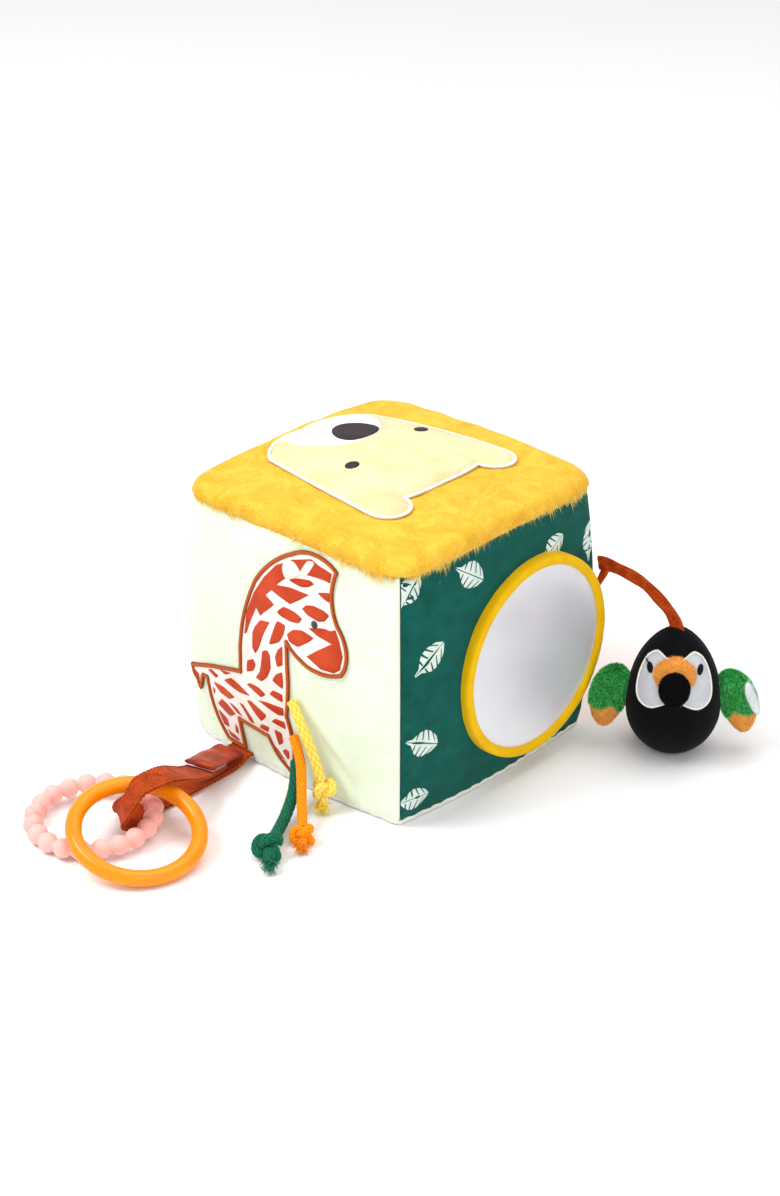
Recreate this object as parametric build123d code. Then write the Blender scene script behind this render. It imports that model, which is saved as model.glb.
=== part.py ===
"""A soft baby activity cube: stuffed fabric cube with a lion, a giraffe, a mirror, rings and a toucan.

Millimetres. +Z is up, the origin is the centre of the cube's base, the giraffe faces -Y and the
mirror faces +X.
"""

import os
from math import pi, radians, sin, tan

from build123d import *

# The stuffed cube. Each face is crowned: part of a large ball whose top is at the face's reach.
SIDE_REACH = 81.0
SIDE_CROWN_R = 560.0
TOP_REACH = 154.0
TOP_CROWN_R = 400.0
MID_HEIGHT = 71.0
FABRIC = 2.5
CUBE_FACES = {
    "top": (0, 0, 1),
    "base": (0, 0, -1),
    "front": (0, -1, 0),
    "back": (0, 1, 0),
    "right": (1, 0, 0),
    "left": (-1, 0, 0),
}

# Plain boxes and prisms that only bound a cut: box side, prism depth, and a start inside the cube
SPACE = 600.0
CUT_DEPTH = 40.0
CUT_START = 60.0

# Fur of the top, which hangs a little over the side seams
FUR_PILE = 7.0
FUR_HALF_WIDTH = 80.5
FUR_HEM_HEIGHT = 140.0
FUR_CORNER_R = 16.0

# Lion face: a padded cushion sewn on the fur, its chin towards -X and its ears towards +X
LION_CENTRE_Y = 4.0
LION_TOP = 161.5
LION_CROWN_R = 300.0
LION_EDGING = 2.0
LION_EDGING_HEIGHT = 3.0

# Giraffe appliqué on the front
APPLIQUE = 1.2
OUTLINE_HEIGHT = 1.8
OUTLINE_WIDTH = 1.8

# Mirror on the right face
MIRROR_Y = 19.0
MIRROR_Z = 66.0
MIRROR_R = 50.0
MIRROR_THICK = 1.2
MIRROR_FACE = 82.5
RING_OUTER_R = 54.5
RING_INNER_R = 47.5
RING_FACE = 85.0
RING_ROUNDING = 2.4

# Rattle in the middle of the filling
RATTLE_Z = 75.0
RATTLE_OUTER_R = 20.0
RATTLE_WALL = 2.0
RATTLE_BALL_R = 6.0
RATTLE_PLAY = 0.3

# Strap that carries the two rings, hinged in the bottom front seam
STRAP_WIDTH = 17.0
STRAP_THICK = 1.6
STRAP_ROOT = (-36.0, -79.5, 4.6)
TAB_LENGTH = 10.0
TAPE_THICK = 0.8
TAPE_WIDTH = 14.0
FLAP_ROOT = (-36.0, -84.5, 8.4)
FLAP_WIDTH = 17.6
FLAP_OVERHANG = 4.0
CLEAR = 0.3
HINGE_GAP = 0.4

# Smooth ring: it leans on the beads, low at its right and high at its left
RING_R = 31.2
RING_TUBE_R = 4.2
RING_X = -7.7
RING_Y = -177.1
RING_TILT = 17.4
RING_TURN = 70.0

# Bead ring, flat on the floor apart from where it lies on the strap
BEAD_COUNT = 20
BEAD_R = 5.1
BEAD_RING_R = 30.4
BEAD_CORE_R = 2.6
BEAD_RING_X = -42.0
BEAD_RING_Y = -175.0
BEAD_TILT = 3.0

# Toucan, which stands beside the mirror's far edge and faces between the front and the right
TOUCAN_X = 123.5
TOUCAN_Y = 85.0
TOUCAN_TURN = 42.5
TOUCAN_R = 25.5
TOUCAN_HEIGHT = 69.0
TOUCAN_WIDEST = 24.0
TOUCAN_FOOT_R = 9.0
TOUCAN_SKIN = 1.5
PATCH_THICK = 1.0
BEAK_R = 10.5
BEAK_OUT = 13.5
BEAK_HEIGHT = 47.0
BEAK_TIP_R = 8.2
BEAK_TIP_OUT = 25.5
BEAK_TIP_HEIGHT = 47.5
EYE_OUT = 12.5
EYE_HEIGHT = 53.5
EYE_HALF_WIDTH = 1.6
EYE_HALF_HEIGHT = 2.4
EYE_PROUD = 0.7
WING_LENGTH = 34.0
WING_WIDTH = 21.0
WING_THICK = 11.0
WING_OFFSET = 37.5
WING_HEIGHT = 29.0
WING_LEAN = 12.0
WING_ROUNDING = 4.0
WING_TIP_HEIGHT = 8.0
WING_PATCH_WIDTH = 5.2
WING_PATCH_LENGTH = 14.0
WING_PATCH_HEIGHT = 3.4

# Ribbon from the cube's far right seam to the toucan's crown
RIBBON_ROOT = (78.2, 78.2)
RIBBON_WIDTH = 8.0
RIBBON_THICK = 1.8

# How far a knot's middle is past its cord's end, how wide a frayed end spreads, and its floor gap
KNOT_GRIP = 0.6
TAIL_SPREAD = 0.75
CORNER_SHARE = 0.45

# Cords: diameter, route from the giraffe's chest to the knot, and the frayed end beyond the knot
CORDS = {
    "yellow": {
        "diameter": 5.0,
        "route": [(9, -84, 54.5), (18.5, -86.5, 44), (25.5, -86, 31), (30.5, -85.5, 17)],
        "knot_r": 5.6,
        "tail": (33.5, -88.5, 3.5),
    },
    "orange": {
        "diameter": 5.0,
        "route": [(9, -83, 33), (18, -87.5, 27.5), (26, -95, 19), (34, -103.5, 10.5), (43, -112, 6.2)],
        "knot_r": 5.8,
        "tail": (52, -122.5, 4.2),
    },
    "green": {
        "diameter": 6.0,
        "route": [(10, -82.5, 18.5), (18, -91, 13), (25, -103, 7.5), (32.5, -117, 5), (40, -131, 6.2)],
        "knot_r": 7.2,
        "tail": (53, -145.5, 5.2),
    },
}


def crown_ball(direction, reach, radius, inset):
    """The ball whose surface is one crowned face, moved inwards by inset."""
    x, y, z = (axis * (reach - radius) for axis in direction)
    height = MID_HEIGHT if direction[2] == 0 else z
    return Pos(x, y, height) * Sphere(radius - inset)


def above(height):
    """All the space above one height."""
    return Pos(0, 0, height) * Box(SPACE, SPACE, SPACE, align=(Align.CENTER, Align.CENTER, Align.MIN))


def face_limit(name, inset=0.0):
    """The space inside one face of the cube, with that face moved inwards by inset."""
    if name == "base":
        return above(max(inset, 0))
    if name == "top":
        return crown_ball(CUBE_FACES[name], TOP_REACH, TOP_CROWN_R, inset)
    return crown_ball(CUBE_FACES[name], SIDE_REACH, SIDE_CROWN_R, inset)


def plush_cube(inset=0.0):
    """The whole stuffed cube, flat below and crowned on its other faces."""
    cube = face_limit("base", inset)
    for name in CUBE_FACES:
        cube &= face_limit(name, inset)
    return cube


def outline(strokes):
    """A closed flat face from strokes: two points are a straight line, three an arc through them."""
    edges = []
    for points in strokes:
        edges.append(Line(*points) if len(points) == 2 else ThreePointArc(*points))
    return make_face(Curve() + edges)


def panels(cube):
    """The six fabric panels, each let in between the ones before it, and the core inside them."""
    skins = {}
    core = cube
    for name in CUBE_FACES:
        inside = face_limit(name, FABRIC)
        skins[name] = core - inside
        core &= inside
    return skins, core


def lion_outline():
    """Head with two ears, seen from above."""
    half = [
        [(-66, 0), (-64.5, 24), (-52, 38.5)],
        [(-52, 38.5), (-12, 46.5), (30, 51.5)],
        [(30, 51.5), (42, 42), (31, 28)],
        [(31, 28), (33, 14), (33, 0)],
    ]
    mirrored = [[(x, -y) for x, y in reversed(points)] for points in reversed(half)]
    return Pos(0, LION_CENTRE_Y) * outline(half + mirrored)


def lion_parts(cube):
    """The fur cap without the lion's place, the lion's cushion and the stitched edging round it."""
    face = lion_outline()
    edge = offset(face, LION_EDGING, kind=Kind.ARC)
    crown = crown_ball((0, 0, 1), TOP_REACH + FUR_PILE, TOP_CROWN_R, 0)
    width = 2 * FUR_HALF_WIDTH
    block = extrude(Pos(0, 0, FUR_HEM_HEIGHT) * RectangleRounded(width, width, FUR_CORNER_R), CUT_DEPTH)
    low = Pos(0, 0, TOP_REACH - CUT_DEPTH / 2)
    face_prism = extrude(low * face, CUT_DEPTH)
    edge_prism = extrude(low * edge, CUT_DEPTH)
    cap = (block & crown) - cube - edge_prism
    cushion_crown = crown_ball((0, 0, 1), LION_TOP, LION_CROWN_R, 0)
    cushion = (face_prism & cushion_crown) - cube
    edging_crown = crown_ball((0, 0, 1), TOP_REACH + LION_EDGING_HEIGHT, TOP_CROWN_R, 0)
    edging = (edge_prism & edging_crown) - cube - face_prism
    return cap, cushion, edging


def giraffe_outline():
    """The giraffe from its side, looking to +X, seen from the front."""
    back_of_neck = [[(-30.5, 55.5), (-29, 81), (-20, 110.5)], [(-20, 110.5), (-9, 124), (5.5, 134)]]
    head = [
        [(5.5, 134), (20, 138), (34.5, 133)],
        [(34.5, 133), (32.5, 119), (37.5, 104.5)],
        [(37.5, 104.5), (43.5, 90.5), (40, 79)],
        [(40, 79), (27, 75.5), (4, 86)],
    ]
    chest = [[(4, 86), (4.2, 64), (2, 41.5)], [(2, 41.5), (5.5, 26), (2, 7)]]
    legs = [
        [(2, 7), (-8, 16), (-12.5, 24)],
        [(-12.5, 24), (-34.5, 25.5)],
        [(-34.5, 25.5), (-32.5, 8)],
        [(-32.5, 8), (-46, 8)],
        [(-46, 8), (-54, 21.5), (-58, 41)],
    ]
    tail = [
        [(-58, 41), (-62, 40.5)],
        [(-62, 40.5), (-65, 31.5)],
        [(-65, 31.5), (-72, 42.5)],
        [(-72, 42.5), (-52, 50), (-30.5, 55.5)],
    ]
    return outline(back_of_neck + head + chest + legs + tail)


def giraffe_parts(cube):
    """The appliqué and the raised stitching round it, both lying on the crowned front."""
    front = Plane(origin=(0, -CUT_START, 0), x_dir=(1, 0, 0), z_dir=(0, -1, 0))
    body = giraffe_outline()
    inner = offset(body, -OUTLINE_WIDTH, kind=Kind.ARC)
    body_prism = extrude(front * body, CUT_DEPTH)
    inner_prism = extrude(front * inner, CUT_DEPTH)
    applique = (inner_prism & plush_cube(-APPLIQUE)) - cube
    stitching = ((body_prism - inner_prism) & plush_cube(-OUTLINE_HEIGHT)) - cube
    return applique, stitching


def mirror_parts(cube):
    """Padding, mirror disc and the fabric ring that holds the disc's rim."""
    centre = Plane(origin=(0, MIRROR_Y, MIRROR_Z), x_dir=(0, 1, 0), z_dir=(1, 0, 0))
    back = MIRROR_FACE - MIRROR_THICK

    def disc(radius, start, end):
        return extrude(centre.offset(start) * Circle(radius), end - start)

    mirror = disc(MIRROR_R, back, MIRROR_FACE)
    backing = disc(RING_INNER_R, CUT_START, back) - cube
    ring = disc(RING_OUTER_R, CUT_START, RING_FACE) - disc(RING_INNER_R, CUT_START, RING_FACE)
    rim_edges = ring.edges().filter_by(GeomType.CIRCLE).group_by(Axis.X)[-1]
    ring = fillet(rim_edges, RING_ROUNDING) - cube - mirror
    return backing, mirror, ring


def rattle_parts():
    """Two halves of a hollow ball, split at its middle, and the loose ball at its bottom."""
    shell = Sphere(RATTLE_OUTER_R) - Sphere(RATTLE_OUTER_R - RATTLE_WALL)
    upper = shell & above(0)
    lower = shell - above(0)
    drop = RATTLE_OUTER_R - RATTLE_WALL - RATTLE_BALL_R - RATTLE_PLAY
    place = Pos(0, 0, RATTLE_Z)
    return place * upper, place * lower, place * Pos(0, 0, -drop) * Sphere(RATTLE_BALL_R)


def band_stations(points, across):
    """Stations of a flat band: each has its centre, the way the band runs and its sideways way."""
    vectors = [Vector(*point) for point in points]
    stations = []
    for index, point in enumerate(vectors):
        before = vectors[max(index - 1, 0)]
        after = vectors[min(index + 1, len(vectors) - 1)]
        along = (after - before).normalized()
        side = Vector(*across[index])
        side = (side - along * side.dot(along)).normalized()
        stations.append((point, along, side))
    return stations


def flat_band(stations, width, thick, lift=0.0):
    """A flat band of straight stretches between stations, lifted off them towards its upper side."""
    sections = []
    for point, along, side in stations:
        plane = Plane(origin=point + side.cross(along) * lift, x_dir=side, z_dir=along)
        sections.append(plane * Rectangle(width, thick))
    return Part() + [loft([start, end], ruled=True) for start, end in zip(sections, sections[1:])]


def ring_strap_parts(cube):
    """Seam tab, the strap's loop, the two tapes and the flap that closes over the strap's end."""
    x, y, z = STRAP_ROOT
    level = (1, 0, 0)
    skew = (0.86, -0.5, 0)
    tab = Pos(x, y + TAB_LENGTH / 2 + HINGE_GAP, z) * Box(STRAP_WIDTH, TAB_LENGTH, STRAP_THICK) - cube
    loop_points = [
        (x, y, z),
        (x, y - 9, 1.3),
        (x + 0.5, -115, 1.2),
        (x + 1, -146, 1.2),
        (x + 2.5, -159, 2.2),
        (x + 5, -166, 6.0),
        (x + 9.5, -170.5, 12.5),
        (x + 16.5, -171.5, 21),
        (x + 18.5, -165, 29.0),
        (x + 18, -152, 28.9),
        (x + 16.5, -141, 25.5),
        (x + 13, -127, 18),
        (x + 7.5, -113, 11.5),
        (x + 2.5, -99, 7.6),
    ]
    stations = band_stations(loop_points, [level] * 6 + [skew] * 3 + [level] * 5)
    strap = flat_band(stations, STRAP_WIDTH, STRAP_THICK)

    closed = stations[-2:]
    loop_lift = (STRAP_THICK + TAPE_THICK) / 2
    hook_lift = loop_lift + TAPE_THICK + CLEAR
    flap_lift = hook_lift + loop_lift
    loop_tape = flat_band(closed, TAPE_WIDTH, TAPE_THICK, loop_lift)
    hook_tape = flat_band(closed, TAPE_WIDTH, TAPE_THICK, hook_lift)
    outer, inner = closed
    tip = (outer[0] - outer[1] * FLAP_OVERHANG, outer[1], outer[2])
    root_along = Vector(0, 1, 0)
    root_side = Vector(*level)
    root = (Vector(*FLAP_ROOT) - root_side.cross(root_along) * flap_lift, root_along, root_side)
    flap = flat_band([tip, outer, inner, root], FLAP_WIDTH, STRAP_THICK, flap_lift)
    return {
        "strap_seam_tab": tab,
        "ring_strap": strap,
        "loop_tape": loop_tape,
        "hook_tape": hook_tape,
        "strap_flap": flap,
    }


def smooth_ring():
    """The plain teething ring, leaning on the beads."""
    height = RING_TUBE_R + RING_R * sin(radians(RING_TILT))
    place = Pos(RING_X, RING_Y, height) * Rot(0, 0, RING_TURN) * Rot(RING_TILT, 0, 0)
    return place * Torus(RING_R, RING_TUBE_R)


def beads():
    """Beads moulded on one round core."""
    ring = Torus(BEAD_RING_R, BEAD_CORE_R)
    for index in range(BEAD_COUNT):
        ring += Rot(0, 0, 360 * index / BEAD_COUNT) * Pos(BEAD_RING_R, 0, 0) * Sphere(BEAD_R)
    height = BEAD_R + BEAD_RING_R * sin(radians(BEAD_TILT))
    return Pos(BEAD_RING_X, BEAD_RING_Y, height) * Rot(BEAD_TILT, 0, 0) * ring


def egg(inset=0.0):
    """The toucan's body: a low round bottom with a flat foot, and a tapering crown."""
    widest = TOUCAN_R - inset
    foot = (TOUCAN_FOOT_R, inset)
    waist = (widest, TOUCAN_WIDEST)
    crown = (0, TOUCAN_HEIGHT - inset)
    edges = [
        Line((0, inset), foot),
        Spline(foot, waist, tangents=[(1, 0.25), (0, 1)]),
        Spline(waist, crown, tangents=[(0, 1), (-1, 0)], tangent_scalars=[1.0, 0.75]),
        Line(crown, (0, inset)),
    ]
    profile = make_face(Curve() + edges)
    return revolve(Plane.XZ * profile, Axis.Z)


def wing(side):
    """One wing, its green part, its orange tip and, on the right, a white patch at its outer edge."""
    flat = Plane(origin=(0, WING_THICK / 2, 0), x_dir=(1, 0, 0), z_dir=(0, -1, 0))
    whole = extrude(flat * Ellipse(WING_WIDTH / 2, WING_LENGTH / 2), WING_THICK)
    whole = fillet(whole.edges(), WING_ROUNDING)
    green = above(WING_TIP_HEIGHT - WING_LENGTH / 2)
    pieces = {"wing_tip": whole - green, "wing": whole & green}
    if side > 0:
        patch_zone = Pos(WING_WIDTH / 2, 0, WING_PATCH_HEIGHT) * Box(
            2 * WING_PATCH_WIDTH, CUT_DEPTH, WING_PATCH_LENGTH
        )
        pieces["wing_patch"] = pieces["wing"] & patch_zone
        pieces["wing"] = pieces["wing"] - patch_zone
    place = Pos(side * WING_OFFSET, 0, WING_HEIGHT) * Rot(0, -side * WING_LEAN, 0)
    return {name: place * piece for name, piece in pieces.items()}


def toucan_parts():
    """The whole toucan, made facing -Y on the origin and then put in its place."""
    body = egg()
    filling = egg(TOUCAN_SKIN)
    front = Plane(origin=(0, 0, 0), x_dir=(1, 0, 0), z_dir=(0, -1, 0))
    half = [
        [(0, 59), (5, 59.5), (9, 61)],
        [(9, 61), (16, 55), (18.5, 42)],
        [(18.5, 42), (13, 33.5), (0, 40)],
    ]
    mirrored = [[(-x, z) for x, z in reversed(points)] for points in reversed(half)]
    zone = extrude(front * outline(half + mirrored), CUT_DEPTH)
    beak = Pos(0, -BEAK_OUT, BEAK_HEIGHT) * Sphere(BEAK_R)
    beak_tip = Pos(0, -BEAK_TIP_OUT, BEAK_TIP_HEIGHT) * Sphere(BEAK_TIP_R)
    raised = egg(-PATCH_THICK)
    patch = (zone & raised) - body - beak - beak_tip
    parts = {
        "toucan_body": body - filling,
        "toucan_filling": filling,
        "toucan_face_patch": patch,
        "toucan_beak": beak - body - beak_tip,
        "toucan_beak_tip": beak_tip - body,
    }
    for side, name in ((-1, "left"), (1, "right")):
        oval = Pos(side * EYE_OUT, EYE_HEIGHT) * Ellipse(EYE_HALF_WIDTH, EYE_HALF_HEIGHT)
        eye = extrude(front * oval, CUT_DEPTH) & egg(-PATCH_THICK - EYE_PROUD)
        parts[f"toucan_{name}_eye"] = eye - raised - beak
        for piece_name, piece in wing(side).items():
            parts[f"{name}_{piece_name}"] = piece
    place = Pos(TOUCAN_X, TOUCAN_Y, 0) * Rot(0, 0, TOUCAN_TURN)
    return {name: place * solid for name, solid in parts.items()}


def toucan_ribbon():
    """The ribbon, bending down to the toucan's crown in one upright plane."""
    root = Vector(*RIBBON_ROOT, 0)
    way = (Vector(TOUCAN_X, TOUCAN_Y, 0) - root).normalized()
    upright = Plane(origin=root, x_dir=way, z_dir=way.cross(Vector(0, 0, 1)))
    points = [(0, 95.5), (13, 94), (26.5, 88.5), (37.5, 80.5), (42.5, 71.5)]
    stations = band_stations([(s, h, 0) for s, h in points], [(0, 1, 0)] * len(points))
    tops = [point + side * RIBBON_WIDTH / 2 for point, _, side in stations]
    bottoms = [point - side * RIBBON_WIDTH / 2 for point, _, side in stations]
    edges = [
        Spline(*tops),
        Line(tops[-1], bottoms[-1]),
        Spline(*reversed(bottoms)),
        Line(bottoms[0], tops[0]),
    ]
    face = make_face(Curve() + edges)
    return extrude(upright.offset(-RIBBON_THICK / 2) * face, RIBBON_THICK)


def corner_radii(points):
    """Fillet radii of a cord's route: as large as the two runs at each corner allow."""
    radii = []
    for before, corner, after in zip(points, points[1:], points[2:]):
        run_in = corner - before
        run_out = after - corner
        half_turn = radians(run_in.get_angle(run_out)) / 2
        radii.append(CORNER_SHARE * min(run_in.length, run_out.length) / tan(half_turn))
    return radii


def cord_parts(name, cord):
    """One braided cord as a plain tube, and its knot with the frayed end."""
    points = [Vector(*point) for point in cord["route"]]
    radii = corner_radii(points)
    path = FilletPolyline(*points, radius=radii)
    start = (points[1] - points[0]).normalized()
    section = Plane(origin=points[0], z_dir=start) * Circle(cord["diameter"] / 2)
    tube = sweep(section, path)
    expected = pi * (cord["diameter"] / 2) ** 2 * path.length
    print(f"{name} cord: radii {[round(r, 1) for r in radii]}, length {path.length:.1f},"
          f" volume {tube.volume:.0f} against {expected:.0f}")
    last_run = (points[-1] - points[-2]).normalized()
    centre = points[-1] + last_run * cord["knot_r"] * KNOT_GRIP
    tail_end = Vector(*cord["tail"])
    tail_way = (tail_end - centre).normalized()
    tail_length = (tail_end - centre).length
    tail_plane = Plane(origin=centre, z_dir=tail_way).offset(tail_length / 2)
    tail = tail_plane * Cone(cord["diameter"] / 2, cord["diameter"] * TAIL_SPREAD, tail_length)
    knot = Pos(*centre) * Sphere(cord["knot_r"]) + tail
    return {f"{name}_cord": tube, f"{name}_knot": (knot & above(0)) - tube}


def build():
    """All the nodes by name."""
    cube = plush_cube()
    skins, core = panels(cube)
    fur, lion_pad, lion_edging = lion_parts(cube)
    applique, stitching = giraffe_parts(cube)
    backing, mirror, mirror_ring = mirror_parts(cube)
    rattle_upper, rattle_lower, rattle_ball = rattle_parts()
    parts = {
        "filling_core": core - Pos(0, 0, RATTLE_Z) * Sphere(RATTLE_OUTER_R),
        "top_fur_panel": skins["top"] + fur,
        "giraffe_panel": skins["front"],
        "mirror_panel": skins["right"],
        "left_leaf_panel": skins["left"],
        "back_panel": skins["back"],
        "base_panel": skins["base"],
        "lion_face_pad": lion_pad,
        "lion_face_edging": lion_edging,
        "giraffe_applique": applique,
        "giraffe_stitching": stitching,
        "mirror_backing": backing,
        "mirror_disc": mirror,
        "mirror_ring": mirror_ring,
        "rattle_shell_upper": rattle_upper,
        "rattle_shell_lower": rattle_lower,
        "rattle_ball": rattle_ball,
    }
    parts.update(ring_strap_parts(cube))
    parts["orange_ring"] = smooth_ring()
    parts["bead_ring"] = beads()
    parts.update(toucan_parts())
    parts["toucan_ribbon"] = toucan_ribbon()
    for name, cord in CORDS.items():
        parts.update(cord_parts(name, cord))
    return parts


os.makedirs("parts", exist_ok=True)
for node, solid in build().items():
    export_step(solid, f"parts/{node}.step")
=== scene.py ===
"""Looks of the soft baby activity cube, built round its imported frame.

Shapes are worked out in millimetres in the frame's own axes and scaled to metres when a mesh is made.
"""

import math

import bpy
import numpy as np
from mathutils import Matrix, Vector, noise
from mathutils.geometry import delaunay_2d_cdt


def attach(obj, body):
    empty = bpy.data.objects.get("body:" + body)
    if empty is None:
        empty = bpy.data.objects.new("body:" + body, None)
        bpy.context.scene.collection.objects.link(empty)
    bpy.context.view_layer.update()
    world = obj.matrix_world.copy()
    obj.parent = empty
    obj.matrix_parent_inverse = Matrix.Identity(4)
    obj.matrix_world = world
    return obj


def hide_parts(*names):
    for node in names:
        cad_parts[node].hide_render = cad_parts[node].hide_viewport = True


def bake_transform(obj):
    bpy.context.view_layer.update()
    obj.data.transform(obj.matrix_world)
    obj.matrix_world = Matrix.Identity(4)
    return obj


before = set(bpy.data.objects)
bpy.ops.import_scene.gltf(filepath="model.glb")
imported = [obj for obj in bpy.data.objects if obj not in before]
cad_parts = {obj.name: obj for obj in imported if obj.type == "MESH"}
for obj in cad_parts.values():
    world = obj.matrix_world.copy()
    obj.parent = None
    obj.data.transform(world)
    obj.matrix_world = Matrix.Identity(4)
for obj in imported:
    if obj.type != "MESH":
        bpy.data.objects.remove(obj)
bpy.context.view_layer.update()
MM = 0.001
TAU = 2 * math.pi
SQUARENESS = 9
FIBRE_FLOOR = 0.25
RNG = np.random.default_rng(11)

# ---------------------------------------------------------------- camera

AZIMUTH, ELEVATION, DISTANCE = math.radians(42.5), math.radians(27.6), 1.5
AIM = Vector((0, 0, 0.073))


def make_camera():
    data = bpy.data.cameras.new("camera")
    data.lens = 86.46
    data.sensor_width = 36.0
    data.shift_x = -1 / 1196
    data.shift_y = 8 / 1196
    data.clip_start = 0.05
    camera = bpy.data.objects.new("camera", data)
    bpy.context.scene.collection.objects.link(camera)
    flat = math.cos(ELEVATION)
    back = Vector((math.sin(AZIMUTH) * flat, -math.cos(AZIMUTH) * flat, math.sin(ELEVATION)))
    camera.location = AIM + back * DISTANCE
    camera.rotation_euler = back.to_track_quat("Z", "Y").to_euler()
    bpy.context.scene.camera = camera


make_camera()

# ---------------------------------------------------------------- materials


def linear(colour):
    """Linear light from an sRGB colour of 0 to 255."""
    share = [c / 255 for c in colour]
    return tuple(c / 12.92 if c <= 0.04045 else ((c + 0.055) / 1.055) ** 2.4 for c in share) + (1.0,)


class Shade:
    """A Principled material and the few nodes that its surface is made with."""

    def __init__(self, name, rough=0.8, **inputs):
        self.mat = bpy.data.materials.new(name)
        self.mat.use_nodes = True
        self.tree = self.mat.node_tree
        self.bsdf = self.tree.nodes["Principled BSDF"]
        self.bsdf.inputs["Roughness"].default_value = rough
        self.bsdf.inputs["Specular IOR Level"].default_value = 0.1
        for key, value in inputs.items():
            self.bsdf.inputs[key.replace("_", " ")].default_value = value
        self.place = self.tree.nodes.new("ShaderNodeTexCoord").outputs["Object"]

    def node(self, kind, links=(), **settings):
        made = self.tree.nodes.new(kind)
        for key, value in settings.items():
            setattr(made, key, value)
        for socket, value in dict(links).items():
            if isinstance(value, bpy.types.NodeSocket):
                self.tree.links.new(value, made.inputs[socket])
            else:
                made.inputs[socket].default_value = value
        return made

    def noise(self, size_mm, detail=3.0, distortion=0.0):
        links = {"Vector": self.place, "Scale": 1000 / size_mm, "Detail": detail, "Distortion": distortion}
        return self.node("ShaderNodeTexNoise", links).outputs["Fac"]

    def wave(self, axis, period_mm, distortion=0.6):
        links = {"Vector": self.place, "Scale": 314 / period_mm, "Distortion": distortion,
                 "Detail": 1.0, "Detail Scale": 2.0}
        return self.node("ShaderNodeTexWave", links, bands_direction=axis).outputs["Fac"]

    def attribute(self, name):
        return self.node("ShaderNodeAttribute", attribute_name=name).outputs["Fac"]

    def math(self, operation, a, b):
        return self.node("ShaderNodeMath", {0: a, 1: b}, operation=operation).outputs[0]

    def ramp(self, factor, stops):
        made = self.node("ShaderNodeValToRGB", {"Fac": factor})
        elements = made.color_ramp.elements
        while len(elements) < len(stops):
            elements.new(0.5)
        for element, (position, colour) in zip(elements, stops):
            element.position = position
            element.color = linear(colour)
        return made.outputs["Color"]

    def mix(self, factor, a, b, blend="MIX"):
        made = self.node("ShaderNodeMix", {"Factor": factor}, data_type="RGBA", blend_type=blend)
        for socket, value in ((6, a), (7, b)):
            if isinstance(value, bpy.types.NodeSocket):
                self.tree.links.new(value, made.inputs[socket])
            else:
                made.inputs[socket].default_value = linear(value)
        return made.outputs[2]

    def colour(self, socket):
        self.tree.links.new(socket, self.bsdf.inputs["Base Color"])
        return self

    def bump(self, height, strength=0.3, distance_mm=0.4):
        made = self.node("ShaderNodeBump", {"Height": height, "Strength": strength,
                                            "Distance": distance_mm * MM})
        self.tree.links.new(made.outputs["Normal"], self.bsdf.inputs["Normal"])
        return self


def woven(name, light, dark, thread_mm=0.55, fleck=None, rough=0.85, sheen=0.05, strength=0.35):
    """Plain woven cloth: two thread directions on each face, soft mottling and a few pale flecks."""
    s = Shade(name, rough, Sheen_Weight=sheen, Sheen_Roughness=0.5)
    across = s.math("MAXIMUM", s.wave("X", thread_mm), s.wave("Y", thread_mm))
    weave = s.math("MULTIPLY", across, s.wave("Z", thread_mm))
    tone = s.ramp(s.noise(9, 5), [(0.3, dark), (0.7, light)])
    if fleck:
        lint = s.math("GREATER_THAN", s.noise(1.1, 6, 2.0), 0.71)
        tone = s.mix(s.math("MULTIPLY", lint, 0.35), tone, fleck)
    s.colour(tone)
    return s.bump(s.math("ADD", weave, s.noise(1.6, 4)), strength, 0.25).mat


def napped(name, light, dark, size_mm=1.2, sheen=0.12, rough=0.92, strength=0.4, patch_mm=14):
    """Velour, velvet or felt: a fine nap, brushed a little lighter and darker."""
    s = Shade(name, rough, Sheen_Weight=sheen, Sheen_Roughness=0.4)
    brushed = s.math("ADD", s.math("MULTIPLY", s.noise(patch_mm, 4, 1.2), 0.6),
                     s.math("MULTIPLY", s.noise(size_mm, 3), 0.4))
    s.colour(s.ramp(brushed, [(0.36, dark), (0.62, light)]))
    return s.bump(s.noise(size_mm * 0.6, 5, 0.6), strength, 0.35).mat


def satin(name, light, dark, rough=0.38, sheen=0.2, coat=0.0):
    """Smooth satin: fine parallel threads and a soft shine."""
    s = Shade(name, rough, Sheen_Weight=sheen, Coat_Weight=coat, Coat_Roughness=0.3)
    s.colour(s.ramp(s.noise(16, 3), [(0.35, dark), (0.65, light)]))
    threads = s.math("ADD", s.wave("DIAGONAL", 0.35, 0.3), s.noise(5, 3))
    return s.bump(threads, 0.12, 0.15).mat


def strand_mat(name, root, middle, tip, rough=0.75, sheen=0.06):
    """Fibres: painted shade darkens them towards the root and painted light pales them towards the tip,
    with their own tones.
    """
    s = Shade(name, rough, Sheen_Weight=sheen)
    along = s.math("ADD", s.math("MULTIPLY", s.attribute("along"), 0.62),
                   s.math("MULTIPLY", s.attribute("tone"), 0.38))
    # painted shade: the root colour stands for the shade among the fibres; painted light: the tip colour
    # stands for their lit ends
    s.colour(s.ramp(along, [(0.2, root), (0.55, middle), (0.92, tip)]))
    return s.bump(s.noise(0.8, 2), 0.1, 0.1).mat


def silicone(name, light, dark, through, rough, radius_mm):
    """Moulded silicone that lets some light in under its surface."""
    s = Shade(name, rough, Subsurface_Weight=through, Subsurface_Scale=radius_mm * MM,
              Subsurface_Radius=(1.0, 0.45, 0.2), Specular_IOR_Level=0.3, Coat_Weight=0.1,
              Coat_Roughness=0.25)
    s.colour(s.ramp(s.noise(20, 2), [(0.3, dark), (0.7, light)]))
    return s.bump(s.noise(0.7, 3), 0.05, 0.1).mat


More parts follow.
